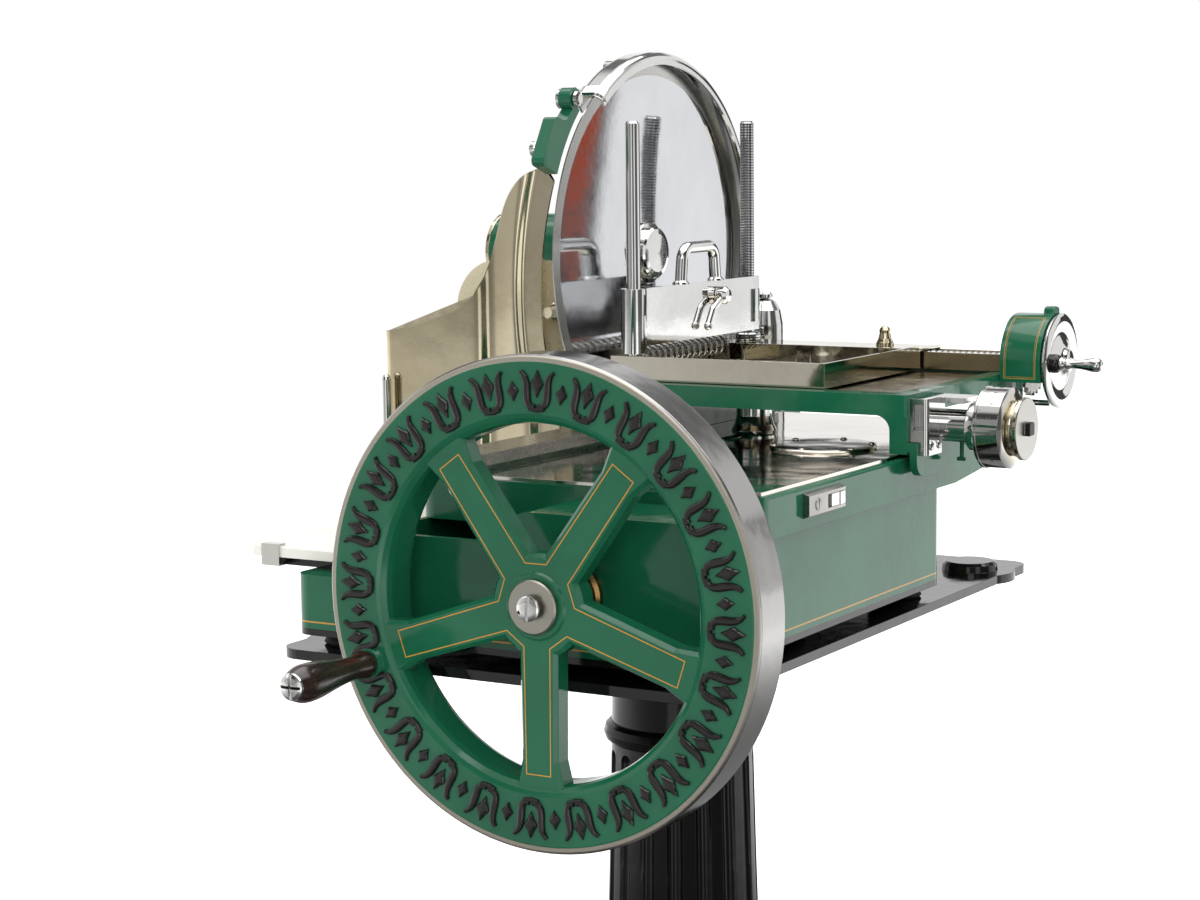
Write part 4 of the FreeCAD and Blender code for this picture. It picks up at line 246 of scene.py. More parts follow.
def base_paint(s, colour, rough):
    """A black foot and one gold line above it, all round the base."""
    z = s.axis("Z")
    line = s.between(z, (BASE_FOOT_Z + 10.4) * MM, (BASE_FOOT_Z + 11.6) * MM, 0.0002)
    foot = s.span(z, (BASE_FOOT_Z + 5.3) * MM, (BASE_FOOT_Z + 5.7) * MM, 1.0, 0.0)
    return s.mix(foot, s.mix(line, colour, GOLD), BLACK), rough


def column_paint(s, colour, rough):
    """Old black enamel that has lost part of its shine."""
    s.put("Specular IOR Level", 0.22)
    return colour, rough


def wheel_paint(s, colour, rough):
    """Green wheel; its tread and the outer edge of its face are bare, turned steel."""
    y = s.axis("Y")
    radius = s.radius_about("XZ", WHEEL_X, WHEEL_Z)
    bare = s.span(radius, (WHEEL_FACE_RADIUS - 0.35) * MM, (WHEEL_FACE_RADIUS + 0.1) * MM)
    face = s.span(y, (WHEEL_FACE_Y + 1.2) * MM, (WHEEL_FACE_Y + 2.2) * MM, 1.0, 0.0)
    turning = s.streaks(s.product(y, 2600.0), s.product(radius, 1800.0), 3)
    steel = s.mix(face, linear(172, 171, 170), linear(206, 199, 184))
    steel = s.mix(s.span(turning, 0.3, 0.8, 0.0, 0.4), steel, linear(128, 126, 122))
    steel_rough = s.blend(face, s.span(turning, 0.3, 0.7, 0.09, 0.2), 0.5)
    s.put("Metallic", bare)
    return s.mix(bare, colour, steel), s.blend(bare, rough, steel_rough)


def frame_paint(s, colour, rough):
    """Black bars; the pins that stand above the slab and the clip at its end are bare plated steel."""
    pins = s.product(s.span(s.axis("Z"), PINS_Z * MM, (PINS_Z + 0.2) * MM),
                     s.math("GREATER_THAN", s.axis("Y"), 0.0))
    bare = s.math("MAXIMUM", pins, s.math("LESS_THAN", s.axis("Y"), CLIP_Y * MM))
    s.put("Metallic", bare)
    return s.mix(bare, colour, linear(214, 212, 206)), s.blend(bare, rough, 0.12)


def knife_shine(s, colour, rough):
    """A mirror dish, faint rings from the polishing wheel, and a satin ground band at the rim."""
    radius = s.radius_about("YZ", KNIFE_Y, KNIFE_Z)
    ring = s.streaks(s.product(radius, 900.0), 0.0, 4)
    inner = KNIFE_RADIUS - GROUND_WIDTH
    ground = s.span(radius, inner * MM, (inner + 1) * MM)
    colour = s.mix(s.product(ring, 0.16), colour, linear(170, 172, 176))
    colour = s.mix(ground, colour, linear(188, 187, 183))
    rough = s.math("ADD", rough, s.span(ring, 0.3, 0.8, 0.0, 0.03))
    return colour, s.blend(ground, rough, 0.26)


def dial_shine(s, colour, rough):
    """Chrome barrel, a neck tinted warm as a painted reflection, a satin face at its end and a dark square
    stud in the middle of that.
    """
    x = s.axis("X")
    neck = s.span(x, (DIAL_START + 36.0) * MM, (DIAL_START + 38.0) * MM)
    face = s.span(x, (DIAL_START + 47.2) * MM, (DIAL_START + 47.9) * MM)
    stud = s.math("GREATER_THAN", x, (DIAL_START + 48.2) * MM)
    # painted reflection: the neck's warm tint stands in for brown and gold reflections
    colour = s.mix(neck, colour, linear(206, 200, 184))
    colour = s.mix(face, colour, linear(196, 194, 188))
    return s.mix(stud, colour, linear(52, 48, 44)), s.blend(face, rough, 0.32)


def toothed_post(s, colour, rough):
    """The rear post is cut with fine teeth across, with painted shade in the gaps between them; the front one
    is plain.
    """
    teeth = s.math("SINE", s.product(s.axis("Z"), 2 * math.pi / (RACK_PITCH * MM)))
    # painted shade: the gaps between the teeth are coloured darker
    gap_shade = s.product(s.span(teeth, -0.1, 0.5), s.math("GREATER_THAN", s.axis("Y"), KNIFE_Y * MM))
    return s.mix(gap_shade, colour, linear(96, 100, 104)), s.blend(gap_shade, rough, 0.3)


def slotted_cap(s, colour, rough):
    """Plated steel; the screw slot across the cap at the grip's end is a flat dark stripe of painted shade,
    standing in for its recess.
    """
    across = s.between(s.axis("Z"), (GRIP_Z - 1.1) * MM, (GRIP_Z + 1.1) * MM, 0.0002)
    cap = s.span(s.axis("Y"), (GRIP_CAP_Y - 0.1) * MM, (GRIP_CAP_Y + 0.1) * MM, 1.0, 0.0)
    # painted shade: the slot is only a dark stripe on the flat cap
    slot = s.product(across, cap)
    return s.mix(slot, colour, linear(34, 30, 26)), s.blend(slot, rough, 0.5)


def pale_plate(s, colour, rough):
    """Nickel worn to a pale, half mat tone."""
    s.put("Metallic", s.span(s.noise(14, 4, 0.6), 0.2, 0.8, 0.35, 0.55))
    return colour, s.math("ADD", rough, 0.12)


def stone_and_pin(name):
    """A brown grinding disc between a plated pin and its knob."""
    s = Shader(name)
    disc = s.between(s.axis("X"), STONE_LEFT * MM, STONE_RIGHT * MM, 0.0002)
    grain = s.noise(900, 5, 0.75)
    stone = s.mix(s.span(grain, 0.35, 0.68), linear(126, 112, 92), linear(92, 78, 62))
    s.put("Metallic", s.span(disc, 0.0, 1.0, 1.0, 0.0))
    s.bump(s.product(grain, disc), 0.0002, 0.6)
    return s.done(s.mix(disc, CHROME, stone), s.blend(disc, 0.08, 0.85))


def wood(name):
    """Dark turned hardwood: long grain, pores and a worn polish."""
    s = Shader(name)
    grain = s.grain((420, 26, 420), 6, 0.65)
    figure = s.grain((60, 14, 60), 3, 0.6)
    pores = s.grain((1500, 90, 1500), 2, 0.5)
    colour = s.mix(s.span(grain, 0.3, 0.7), linear(48, 24, 17), linear(24, 14, 12))
    colour = s.mix(s.span(figure, 0.52, 0.68, 0.0, 0.8), colour, linear(96, 44, 26))
    colour = s.mix(s.span(pores, 0.62, 0.72, 0.0, 0.7), colour, linear(14, 9, 8))
    s.put("Coat Weight", 0.5)
    s.put("Coat Roughness", 0.12)
    s.bump(pores, 0.0001, 0.5)
    s.bump(grain, 0.0001, 0.4)
    return s.done(colour, s.span(grain, 0.3, 0.7, 0.2, 0.38))


def slab_glass(name):
    """An off-white opal slab with faint clouds and a polished top."""
    s = Shader(name)
    s.soften(0.0009)
    s.bump(s.noise(160, 3), 0.00005, 0.3)
    return s.done(s.mix(s.span(s.noise(22, 6), 0.35, 0.7), linear(238, 236, 228), linear(226, 224, 214)),
                  s.span(s.noise(90, 4), 0.3, 0.7, 0.12, 0.22))


def foot_rubber(name):
    """Grainy matt rubber."""
    s = Shader(name)
    grain = s.noise(500, 5, 0.75)
    s.soften(0.0006)
    s.bump(grain, 0.0002, 0.6)
    return s.done(s.mix(s.span(grain, 0.35, 0.68), linear(26, 26, 27), linear(36, 36, 37)),
                  s.span(grain, 0.3, 0.7, 0.6, 0.78))


looks = {
    "green": enamel("green_enamel", GREEN, GREEN_SHADE),
    "base_green": enamel("base_enamel", GREEN, GREEN_SHADE, base_paint),
    "wheel_green": enamel("wheel_enamel", GREEN, GREEN_SHADE, wheel_paint, edge=0.001),
    "black": enamel("black_enamel", BLACK, BLACK_SHADE, gloss=0.07),
    "frame_black": enamel("frame_enamel", BLACK, BLACK_SHADE, frame_paint, gloss=0.07),
    "column_black": enamel("column_enamel", linear(14, 13, 12), linear(10, 9, 9), column_paint),
    "ornament": enamel("ornament_enamel", linear(30, 27, 26), linear(22, 20, 19), edge=0.0003, gloss=0.14),
    "gold": enamel("gold_line", GOLD, GOLD_SHADE, edge=0.0001, gloss=0.3),
    "nickel": metal("nickel_plate", NICKEL, NICKEL_DULL, 0.05, 0.08, 0.35),
    "pan_nickel": metal("pan_nickel", linear(216, 211, 196), linear(196, 190, 172), 0.04, 0.05, 0.3),
    "pale_nickel": metal("pale_nickel", linear(228, 219, 192), linear(216, 205, 174), 0.12, 0.08, 0.3,
                         paint=pale_plate),
    "deck_nickel": metal("deck_nickel", linear(226, 222, 214), linear(206, 201, 190), 0.05, 0.07, 0.8,
                         lines=(60, 900, 60), stains=(0.25, linear(150, 140, 122))),
    "old_nickel": metal("aged_nickel", linear(180, 168, 144), linear(146, 132, 108), 0.16, 0.14, 0.4,
                        lines=(40, 700, 700), stains=(0.55, linear(104, 90, 70))),
    "hub": metal("hub_nickel", linear(186, 183, 172), linear(170, 166, 154), 0.3, 0.1, 0.2,
                 lines=(500, 500, 500)),
    "chrome": metal("chrome_plate", CHROME, CHROME_DULL, 0.04, 0.05, 0.25),
    "dial": metal("dial_chrome", CHROME, CHROME_DULL, 0.04, 0.05, 0.25, paint=dial_shine),
    "posts": metal("post_chrome", CHROME, CHROME_DULL, 0.05, 0.05, 0.2, paint=toothed_post),
    "cap": metal("cap_chrome", CHROME, CHROME_DULL, 0.06, 0.06, 0.25, paint=slotted_cap),
    "etched": metal("etched_mark", linear(150, 147, 140), linear(112, 109, 103), 0.5, 0.1, 0.1),
    "steel": metal("turned_steel", linear(178, 176, 172), linear(150, 147, 142), 0.2, 0.12, 0.2,
                   lines=(500, 500, 500)),
    "cast_iron": metal("cut_iron", linear(112, 109, 106), linear(84, 81, 78), 0.34, 0.16, 0.3,
                       lines=(300, 300, 300), stains=(0.5, linear(70, 52, 38))),
    "chain": metal("oiled_steel", linear(128, 124, 118), linear(88, 84, 78), 0.24, 0.18, 0.2),
    "knife": metal("knife_steel", linear(226, 227, 230), linear(212, 213, 216), 0.03, 0.03, 0.12, edge=None,
                   paint=knife_shine),
    "bronze": metal("bearing_bronze", linear(186, 148, 92), linear(150, 112, 64), 0.22, 0.14, 0.2),
    "wood": wood("turned_wood"),
    "slab": slab_glass("opal_slab"),
    "stone": stone_and_pin("grinding_stone"),
    "rubber": foot_rubber("foot_rubber"),
}

LOOK_OF_SLOT = {
    "green_enamel": "green", "black_enamel": "black", "rubber": "rubber", "nickel": "nickel",
    "chrome": "chrome", "steel": "steel", "cast_iron": "cast_iron", "knife_steel": "knife",
    "bronze": "bronze", "wood": "wood", "white_slab": "slab", "stone": "stone"}
LOOK_OF_NODE = {
    "flywheel": "wheel_green", "base_casting": "base_green", "deck_plate": "deck_nickel",
    "access_cover": "deck_nickel", "screw_trough": "old_nickel", "guide_tray": "old_nickel",
    "meat_table": "pan_nickel", "rear_plate": "pale_nickel", "drive_chain": "chain",
    "knife_guard": "chrome", "slab_frame": "frame_black", "handle_spindle": "cap", "clamp_posts": "posts",
    "hub_plate": "hub", "pedestal_column": "column_black", "latch_plate": "steel"}

# every solid gets the look of its node, or else that of its slot
slot_of = {part["node"]: part["material_slot"] for part in frame["record"]["subparts"]}
for node_name, node_object in frame["nodes"].items():
    look = LOOK_OF_NODE.get(node_name) or LOOK_OF_SLOT[slot_of[node_name]]
    for holder in node_object.material_slots:
        holder.material = looks[look]
    if not node_object.material_slots:
        node_object.data.materials.append(looks[look])


# ---------------------------------------------------------------- shapes, as points and faces, and pieces
def placed(name, mesh, body, look):
    """An object of the mesh in one look; it rides on a body."""
    mesh.materials.clear()
    mesh.materials.append(looks[look])
    made = bpy.data.objects.new(name, mesh)
    scene.collection.objects.link(made)
    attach(made, body)
    return made


def piece(name, shape, body, look, sharp=0):
    """A mesh piece from a shape in millimetres, smooth up to the angle sharp."""
    points, faces = shape
    mesh = bpy.data.meshes.new(name)
    mesh.from_pydata([Vector(p) * MM for p in points], [], faces)
    mesh.validate()
    work = bmesh.new()
    work.from_mesh(mesh)
    bmesh.ops.recalc_face_normals(work, faces=work.faces)
    work.to_mesh(mesh)
    work.free()
    if sharp:
        mesh.shade_smooth()
        mesh.set_sharp_from_angle(angle=math.radians(sharp))
    return placed(name, mesh, body, look)


def join(shapes):
    points, faces = [], []
    for more_points, more_faces in shapes:
        start = len(points)
        points += more_points
        faces += [tuple(start + i for i in face) for face in more_faces]
    return points, faces


def stack(rows, closed=False):
    """Outlines of as many points each, one behind the other, with capped ends or closed to a ring."""
    count = len(rows[0])
    points = [point for row in rows for point in row]
    faces = []
    for r in range(len(rows) if closed else len(rows) - 1):
        here, there = r * count, (r + 1) % len(rows) * count
        for i in range(count):
            j = (i + 1) % count
            faces.append((here + i, here + j, there + j, there + i))
    if not closed:
        faces.append(tuple(range(count)))
        faces.append(tuple(len(points) - 1 - i for i in range(count)))
    return points, faces


def in_millimetres(place):
    return tuple(value / MM for value in place)


def around(radius, degrees):
    """A place in the flat, by its distance and direction from the middle."""
    angle = math.radians(degrees)
    return radius * math.cos(angle), radius * math.sin(angle)


def spun(profile, place, steps, knurl=0.0):
    """A turned shape; place(along, u, v) puts a point in space, and knurl sinks every other line of it."""
    rows = []
    for along, radius in profile:
        rows.append([place(along, *around(radius * (1 - knurl * (i % 2)), 360 * i / steps))
                     for i in range(steps)])
    return stack(rows)


def along_x(x, y, z):
    """A function that puts along, u, v in space about an axis that starts at x, y, z and runs along X."""
    return lambda along, u, v: (x + along, y + u, z + v)


def direction(a, b):
    """The step of length 1 from a towards b, in the flat."""
    du, dv = b[0] - a[0], b[1] - a[1]
    length = math.hypot(du, dv)
    return du / length, dv / length


def ribbon(corners, width, up, closed):
    """A mitred band along corners in the flat; up(u, v, level) lifts its underside, 0, and its top, 1."""
    ring = ((-1, 0), (-1, 1), (1, 1), (1, 0))
    least = 0.35                     # keeps the mitre of a sharp corner short
    ways = [direction(a, b) for a, b in zip(corners, corners[1:] + corners[:1])]
    rows = []
    for i, (u, v) in enumerate(corners):
        before = ways[i - 1] if closed or i else ways[i]
        after = ways[i] if closed or i < len(corners) - 1 else ways[i - 1]
        du, dv = direction((0, 0), (before[0] + after[0], before[1] + after[1]))
        reach = width / 2 / max(least, du * before[0] + dv * before[1])
        rows.append([up(u - side * dv * reach, v + side * du * reach, level) for side, level in ring])
    return stack(rows, closed)


# ---------------------------------------------------------------- flywheel: star of fine lines, raised border
def on_wheel(u, v, y):
    return (WHEEL_X + u, y, WHEEL_Z + v)


def star_line():
    """The fine gold line that runs along every spoke and across each crotch."""
    side, taper, end, crotch, width = 11.2, 0.8, 126.5, 31.5, 0.85
    half = math.radians(180 / SPOKES)
    start = (crotch - side * math.sin(half)) / math.cos(half)
    corners = []
    for i in range(SPOKES):
        cos, sin = around(1.0, 270 + 360 / SPOKES * i)
        for u, v in ((start, -side), (end, -side + taper), (end, side - taper), (start, side)):
            corners.append((u * cos - v * sin, u * sin + v * cos))

    def up(u, v, level):
        return on_wheel(u, v, SPOKE_FACE_Y + SUNK_IN_FLAT - LINE_THICK * level)

    piece("spoke_line", ribbon(corners, width, up, True), "wheel", "gold")


def stroke(path, widths, height, place):
    """A rounded raised stroke; path is in the flat, widths go with its points, ends are blunt."""
    section = ((-1.0, -0.35), (-1.0, 0.45), (-0.8, 0.8), (-0.45, 0.97), (0.0, 1.0), (0.45, 0.97), (0.8, 0.8),
               (1.0, 0.45), (1.0, -0.35))
    rows = []
    for i, ((u, v), width) in enumerate(zip(path, widths)):
        du, dv = direction(path[max(i - 1, 0)], path[min(i + 1, len(path) - 1)])
        rows.append([place(u - dv * across * width / 2, v + du * across * width / 2, lift * height)
                     for across, lift in section])
    return stack(rows)


def curve(ends, steps):
    """Places along a smooth curve through two ends, pulled towards the two places between them."""
    found = []
    for i in range(steps):
        t = i / (steps - 1)
        shares = ((1 - t) ** 3, 3 * t * (1 - t) ** 2, 3 * t * t * (1 - t), t ** 3)
        found.append(tuple(sum(w * end[k] for w, end in zip(shares, ends)) for k in (0, 1)))
    return found


def swelling(steps, full, start, end):
    """Widths of a pen stroke that swells from start to full and narrows to end."""
    found = []
    for i in range(steps):
        t = i / (steps - 1)
        pressed = math.sin(math.pi * (0.12 + 0.8 * t)) ** 0.8
        found.append(max(start * (1 - t) + end * t, full * pressed))
    return found


def lozenge(middle_u, middle_v, half_u, half_v, height, place):
    """A low pyramid with a flat top and hollow sides."""
    corners, hollow = 16, 0.34
    rim = []
    for i in range(corners):
        degrees = 360 * i / corners
        u, v = around(1.0 - hollow * abs(math.sin(math.radians(2 * degrees))), degrees)
        rim.append((half_u * u, half_v * v))
    rows = []
    for share, lift in ((1.0, -0.35), (1.0, 0.5), (0.8, 0.9), (0.45, 1.0)):
        rows.append([place(middle_u + u * share, middle_v + v * share, lift * height) for u, v in rim])
    return stack(rows)


def border_motifs():
    """Lilies between lozenges all round the rim; the handle's boss takes one lozenge's place."""
    count, middle, raised, steps = 24, 159.5, 2.6, 14
    petal = ((1.4, -12.5), (15.5, -13.5), (3.2, 5.5), (13.0, 13.6))
    shapes = []
    for i in range(count):
        turn = HANDLE_ANGLE + 360.0 * (i + 0.5) / count

        def place(u, v, lift, turn=turn):
            return on_wheel(*around(middle + v, turn - math.degrees(u / middle)), WHEEL_FACE_Y - lift)

        shapes.append(lozenge(0.0, 4.4, 5.2, 10.2, raised, place))
        for side in (-1, 1):
            path = curve([(side * u, v) for u, v in petal], steps)
            shapes.append(stroke(path, swelling(steps, 6.4, 4.2, 2.6), raised, place))
        shapes.append(stroke([(-7.0, -13.8), (0.0, -14.6), (7.0, -13.8)], (2.8, 3.6, 2.8), raised, place))
        if i < count - 1:
            shapes.append(lozenge(-math.pi / count * middle, -1.0, 4.8, 7.4, raised, place))
    piece("rim_ornament", join(shapes), "wheel", "ornament")


star_line()
border_motifs()


# ---------------------------------------------------------------- feed: housing, its lines, bracket and crank
def housing_line(name, inset, low, high, width):
    """A closed line on the housing's curved side, between two angles; it runs on down the straight side."""
    r, steps, nearer = FEED_RADIUS, 40, 0.5      # the line lies nearer to the right rim than to the left one
    x0, x1 = FEED_LEFT + inset, FEED_RIGHT - inset + nearer
    turns = [low + (high - low) * i / steps for i in range(steps + 1)]
    corners = [(x0, math.radians(a) * r) for a in turns] + [(x1, math.radians(a) * r) for a in turns[::-1]]

    def up(x, s, level):
        reach = r - SUNK_IN_ROUND + LINE_THICK * level
        u, v = around(reach, math.degrees(min(s / r, math.pi)))
        return (x, FEED_Y + u, FEED_Z + v - max(0.0, s - math.pi * r))

    piece(name, ribbon(corners, width, up, True), "carriage", "gold")


def feed_housing():
    """The housing over the ratchet: round on top, straight sides, a flat foot and a lug at the right rim."""
    drop, wall, steps = 17.0, 4.0, 48
    at = along_x(0.0, FEED_Y, FEED_Z)

    def arch(x, inset):
        reach, foot = FEED_RADIUS - inset, inset - drop
        flat = [(reach, foot)] + [around(reach, 180 * i / steps) for i in range(steps + 1)] + [(-reach, foot)]
        return [at(x, u, v) for u, v in flat]

    depths = ((FEED_LEFT, 2.0), (FEED_LEFT + 0.6, 0.6), (FEED_LEFT + 2, 0.0), (FEED_RIGHT, 0.0),
              (FEED_RIGHT, wall), (FEED_LEFT + wall, wall))
    lug = ((-7.0, -2.0), (-6.4, 3.6), (-4.6, 5.8), (0.0, 6.6), (4.6, 5.8), (6.4, 3.6), (7.0, -2.0))
    lug_rows = []
    for back, share in ((11, 0.72), (9.5, 1.0), (1, 1.0), (0, 0.9)):
        lug_rows.append([at(FEED_RIGHT - back, u * share, FEED_RADIUS + v * share) for u, v in lug])
    shape = join([stack([arch(*depth) for depth in depths]), stack(lug_rows)])
    made = piece("feed_housing", shape, "carriage", "green", 35)
    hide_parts("feed_drum")


def pawl_bracket():
    """The bright bracket that hangs under the housing and holds the ratchet's pawl."""
    low, top = -42.0, -16.0
    middle = (top + low) / 2
    flat = ((-24, top), (-24, low + 3), (-21, low), (4, low), (6, low + 2), (6, low + 5), (-14, low + 5),
            (-17, low + 8), (-17, top))
    at = along_x(FEED_LEFT, FEED_Y, FEED_Z)
    rows = []
    for x, share in ((9, 0.95), (9.6, 1.0), (15.4, 1.0), (16, 0.95)):
        rows.append([at(x, u, middle + (v - middle) * share) for u, v in flat])
    arm = spun([(16, 2.2), (16.4, 2.8), (33, 2.8), (34, 2.0)],
               lambda along, u, v: at(along, u - 2, low + 3 + v), 24)
    piece("pawl_bracket", join([stack(rows), arm]), "carriage", "chrome", 35)


def feed_crank_pieces():
    """The crank disc with its ring of relief, the dark collar and the turned handle."""
    face, throw, seat = FEED_RIGHT + 0.6, 30.0, 4.5      # the handle stands off the axis, sunk in the disc
    disc = spun([(0, 20), (0, 41.5), (1.6, 43.2), (3.4, 43.2), (5.0, 41.2), (6.0, 37.0), (5.6, 32.5),
                 (4.0, 29.4), (3.4, 26.0), (4.4, 22.0), (6.4, 17.5), (7.4, 13.4), (9.4, 11.0), (12.0, 10.2),
                 (12.7, 8.6), (12.9, 3)], along_x(face, FEED_Y, FEED_Z), 96)
    made = piece("crank_disc", disc, "feed", "chrome", 50)
    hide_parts("feed_crank")

    at_handle = along_x(face + seat, FEED_Y - throw, FEED_Z)
    collar = spun([(0, 7.0), (0.6, 8.0), (3.0, 8.6), (7.5, 8.2), (9.0, 7.0), (9.2, 4.0)], at_handle, 48)
    piece("crank_collar", collar, "feed", "black", 40)
    handle = spun([(8.0, 4.0), (9.6, 5.8), (11.4, 6.2), (12.8, 5.0), (14.4, 4.2), (16.0, 5.4), (17.4, 5.2),
                   (19.5, 3.9), (24.0, 3.8), (30.0, 4.5), (35.0, 5.4), (39.0, 6.3), (42.0, 6.7), (45.0, 6.5),
                   (47.4, 5.2), (48.8, 3.0), (49.2, 0.8)], at_handle, 48)
    piece("crank_handle", handle, "feed", "chrome", 60)


housing_line("housing_line", 5.0, 112, 198, 0.55)
housing_line("housing_line_inner", 6.4, 114, 196, 0.25)
feed_housing()
pawl_bracket()
feed_crank_pieces()


# ---------------------------------------------------------------- dial: barrel, plain numbers and ticks
def dial_barrel():
    """A sleeve, the fluted barrel, a ribbed neck, the end disc, its square stud and the spindle behind."""
    profile = ((0, 18), (0, 20.5), (1, 21), (8.6, 21), (9, 26), (11.4, 26), (11.6, 33), (13, 34.6),
               (15, 34.6), (15.4, DIAL_RADIUS), (19, DIAL_RADIUS), (20.5, DIAL_RADIUS), (33, DIAL_RADIUS),
               (34.5, DIAL_RADIUS), (36.4, 31.4), (38.6, 25.6), (39.4, 22.6), (40.4, 23.8), (41.4, 23.4),
               (42.0, 21.4), (43.0, 22.2), (44.0, 21.6), (44.3, 25.4), (44.8, 26.5), (47.2, 26.5),
               (48, 25.7), (48, 3))
    steps, flute_start, flute_end, flute_depth, flute_half = 288, 20, 33.5, 1.3, 5.2
    at = along_x(DIAL_START, DIAL_Y, DIAL_Z)
    rows = []
    for along, radius in profile:
        row = []
        for i in range(steps):
            degrees = 360 / steps * i
            away = min(abs(degrees - DIAL_FLUTE_START - DIAL_FLUTE_PITCH * k) for k in range(DIAL_FLUTES))
            fluted = flute_start < along < flute_end
            dip = flute_depth * max(0.0, 1 - (away / flute_half) ** 2) if fluted else 0.0
            row.append(at(along, *around(radius - dip, degrees)))
        rows.append(row)
    stud = []
    for along, half in ((47.6, 5.6), (51.8, 5.6), (52.6, 5.0)):
        corner = half - 1.0
        flat = ((half, -corner), (half, corner), (corner, half), (-corner, half), (-half, corner),
                (-half, -corner), (-corner, -half), (corner, -half))
        stud.append([at(along, u, v) for u, v in flat])
    spindle = spun([(-42, 6), (-41.6, 7), (0.5, 7)], at, 32)
    made = piece("dial_barrel", join([stack(rows), stack(stud), spindle]), "dial", "dial", 28)
    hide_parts("thickness_dial")


def on_barrel(x, turn, lift):
    """A place on the barrel, by its turn in degrees from the flywheel's side upwards."""
    u, v = around(DIAL_RADIUS + lift, turn)
    return (x, DIAL_Y - u, DIAL_Z + v)


def wrapped_number(number):
    """A number laid on the dial's barrel, read from outside."""
    name, size, middle = "dial_number_%02d" % number, 5.4, DIAL_START + 26.5
    letters = bpy.data.curves.new(name, "FONT")
    letters.body = str(number)
    letters.size = size * MM
    letters.align_x, letters.align_y = "CENTER", "CENTER"
    letters.extrude = 0.07 * MM
    temporary = bpy.data.objects.new(name + "_text", letters)
    scene.collection.objects.link(temporary)
    bpy.context.view_layer.update()
    mesh = bpy.data.meshes.new_from_object(temporary.evaluated_get(bpy.context.evaluated_depsgraph_get()))
    bpy.data.objects.remove(temporary)
    for vertex in mesh.vertices:
        u, v, lift = in_millimetres(vertex.co)
        turn = DIAL_ZERO + DIAL_NUMBER_PITCH * number - math.degrees(u / DIAL_RADIUS)
        vertex.co = Vector(on_barrel(middle - v, turn, lift)) * MM
    placed(name, mesh, "dial", "etched")


def dial_ticks():
    """A long tick beside every number and a short one half way to the next."""
    start, long_end, short_end, width = 15.8, 20.6, 18.4, 0.4

    def up(x, s, level):
        return on_barrel(x, math.degrees(s / DIAL_RADIUS), LINE_THICK * level - SUNK_IN_ROUND)

    ticks = []
    for i in range(2 * DIAL_NUMBERS):
        s = math.radians(DIAL_ZERO + DIAL_NUMBER_PITCH / 2 * i) * DIAL_RADIUS
        end = short_end if i % 2 else long_end
        ticks.append(ribbon([(DIAL_START + start, s), (DIAL_START + end, s)], width, up, False))
    piece("dial_ticks", join(ticks), "dial", "etched")


dial_barrel()
for dial_number in range(DIAL_NUMBERS):
    wrapped_number(dial_number)
dial_ticks()


# ---------------------------------------------------------------- slotted screw on the flywheel's hub
def slotted_screw(centre, normal, radius, height, turn):
    """A domed head in two halves, with the floor of its slot between them."""
    axis = Vector(normal).normalized()
    side = axis.orthogonal().normalized()
    side.rotate(Matrix.Rotation(math.radians(turn), 3, axis))
    other = axis.cross(side)
    slot_half, floor_radius, half_steps, floor_steps = 0.13 * radius, 0.97 * radius, 14, 24

    def place(a, b, lift):
        return tuple(Vector(centre) + side * a + other * b + axis * lift * height)

    halves = []
    for half in (-1, 1):
        rows = []
        for share, lift in ((1.0, 0.0), (1.0, 0.45), (0.86, 0.78), (0.55, 0.96), (0.22, 1.0)):
            row = []
            for i in range(half_steps + 1):
                a, b = around(share * radius, 180 * i / half_steps)
                row.append(place(a, half * max(slot_half, b), lift))
            rows.append(row)
        halves.append(stack(rows))
    floor = [[place(*around(floor_radius, 360 * i / floor_steps), lift) for i in range(floor_steps)]
             for lift in (-0.02, 0.35)]
    return join(halves + [stack(floor)])


piece("hub_screw", slotted_screw((WHEEL_X, HUB_FACE_Y, WHEEL_Z), (0, -1, 0), 9.5, 2.2, 40),
      "wheel", "chrome", 30)


# ---------------------------------------------------------------- deflector: rounded bends, hollow right edge
def rounded_path(corners, radii):
    """A plan line with an arc at every inner corner, as places and their left hand normals."""
    found, steps = [], 8

    def add(x, y, heading):
        found.append((x, y, -math.sin(heading), math.cos(heading)))

    ways = [math.atan2(b[1] - a[1], b[0] - a[0]) for a, b in zip(corners, corners[1:])]
    add(*corners[0], ways[0])
    for (x, y), before, after, radius in zip(corners[1:-1], ways, ways[1:], radii):
        turn = after - before
        side = radius if turn > 0 else -radius
        back = radius * math.tan(abs(turn) / 2)
        centre_x = x - back * math.cos(before) - side * math.sin(before)
        centre_y = y - back * math.sin(before) + side * math.cos(before)
        for i in range(steps + 1):
            heading = before + turn * i / steps
            add(centre_x + side * math.sin(heading), centre_y - side * math.cos(heading), heading)
    add(*corners[-1], ways[-1])
    return found


def filled_in(stations, longest):
    """The same line with straight stretches cut into short steps."""
    found = [stations[0]]
    for a, b in zip(stations, stations[1:]):
        parts = max(1, math.ceil(math.hypot(b[0] - a[0], b[1] - a[1]) / longest))
        for i in range(1, parts):
            t = i / parts
            found.append(tuple(p + (q - p) * t for p, q in zip(a, b)))
        found.append(b)
    return found


def solid_top(node, above):
    """The top line of a CAD sheet, as rising places along X with their heights, in millimetres."""
    heights = {}
    for vertex in frame["nodes"][node].data.vertices:
        x, _, z = in_millimetres(vertex.co)
        if z > above:
            heights[round(x, 1)] = max(z, heights.get(round(x, 1), 0.0))
    found = []
    for x in sorted(heights):
        if not found or heights[x] > found[-1][1]:
            found.append((x, heights[x]))
    return found


def read_off(line, x):
    """The height of a line at x, in straight steps between its places."""
    if x <= line[0][0]:
        return line[0][1]
    for (x0, z0), (x1, z1) in zip(line, line[1:]):
        if x <= x1:
            return z0 + (z1 - z0) * (x - x0) / (x1 - x0)
    return line[-1][1]


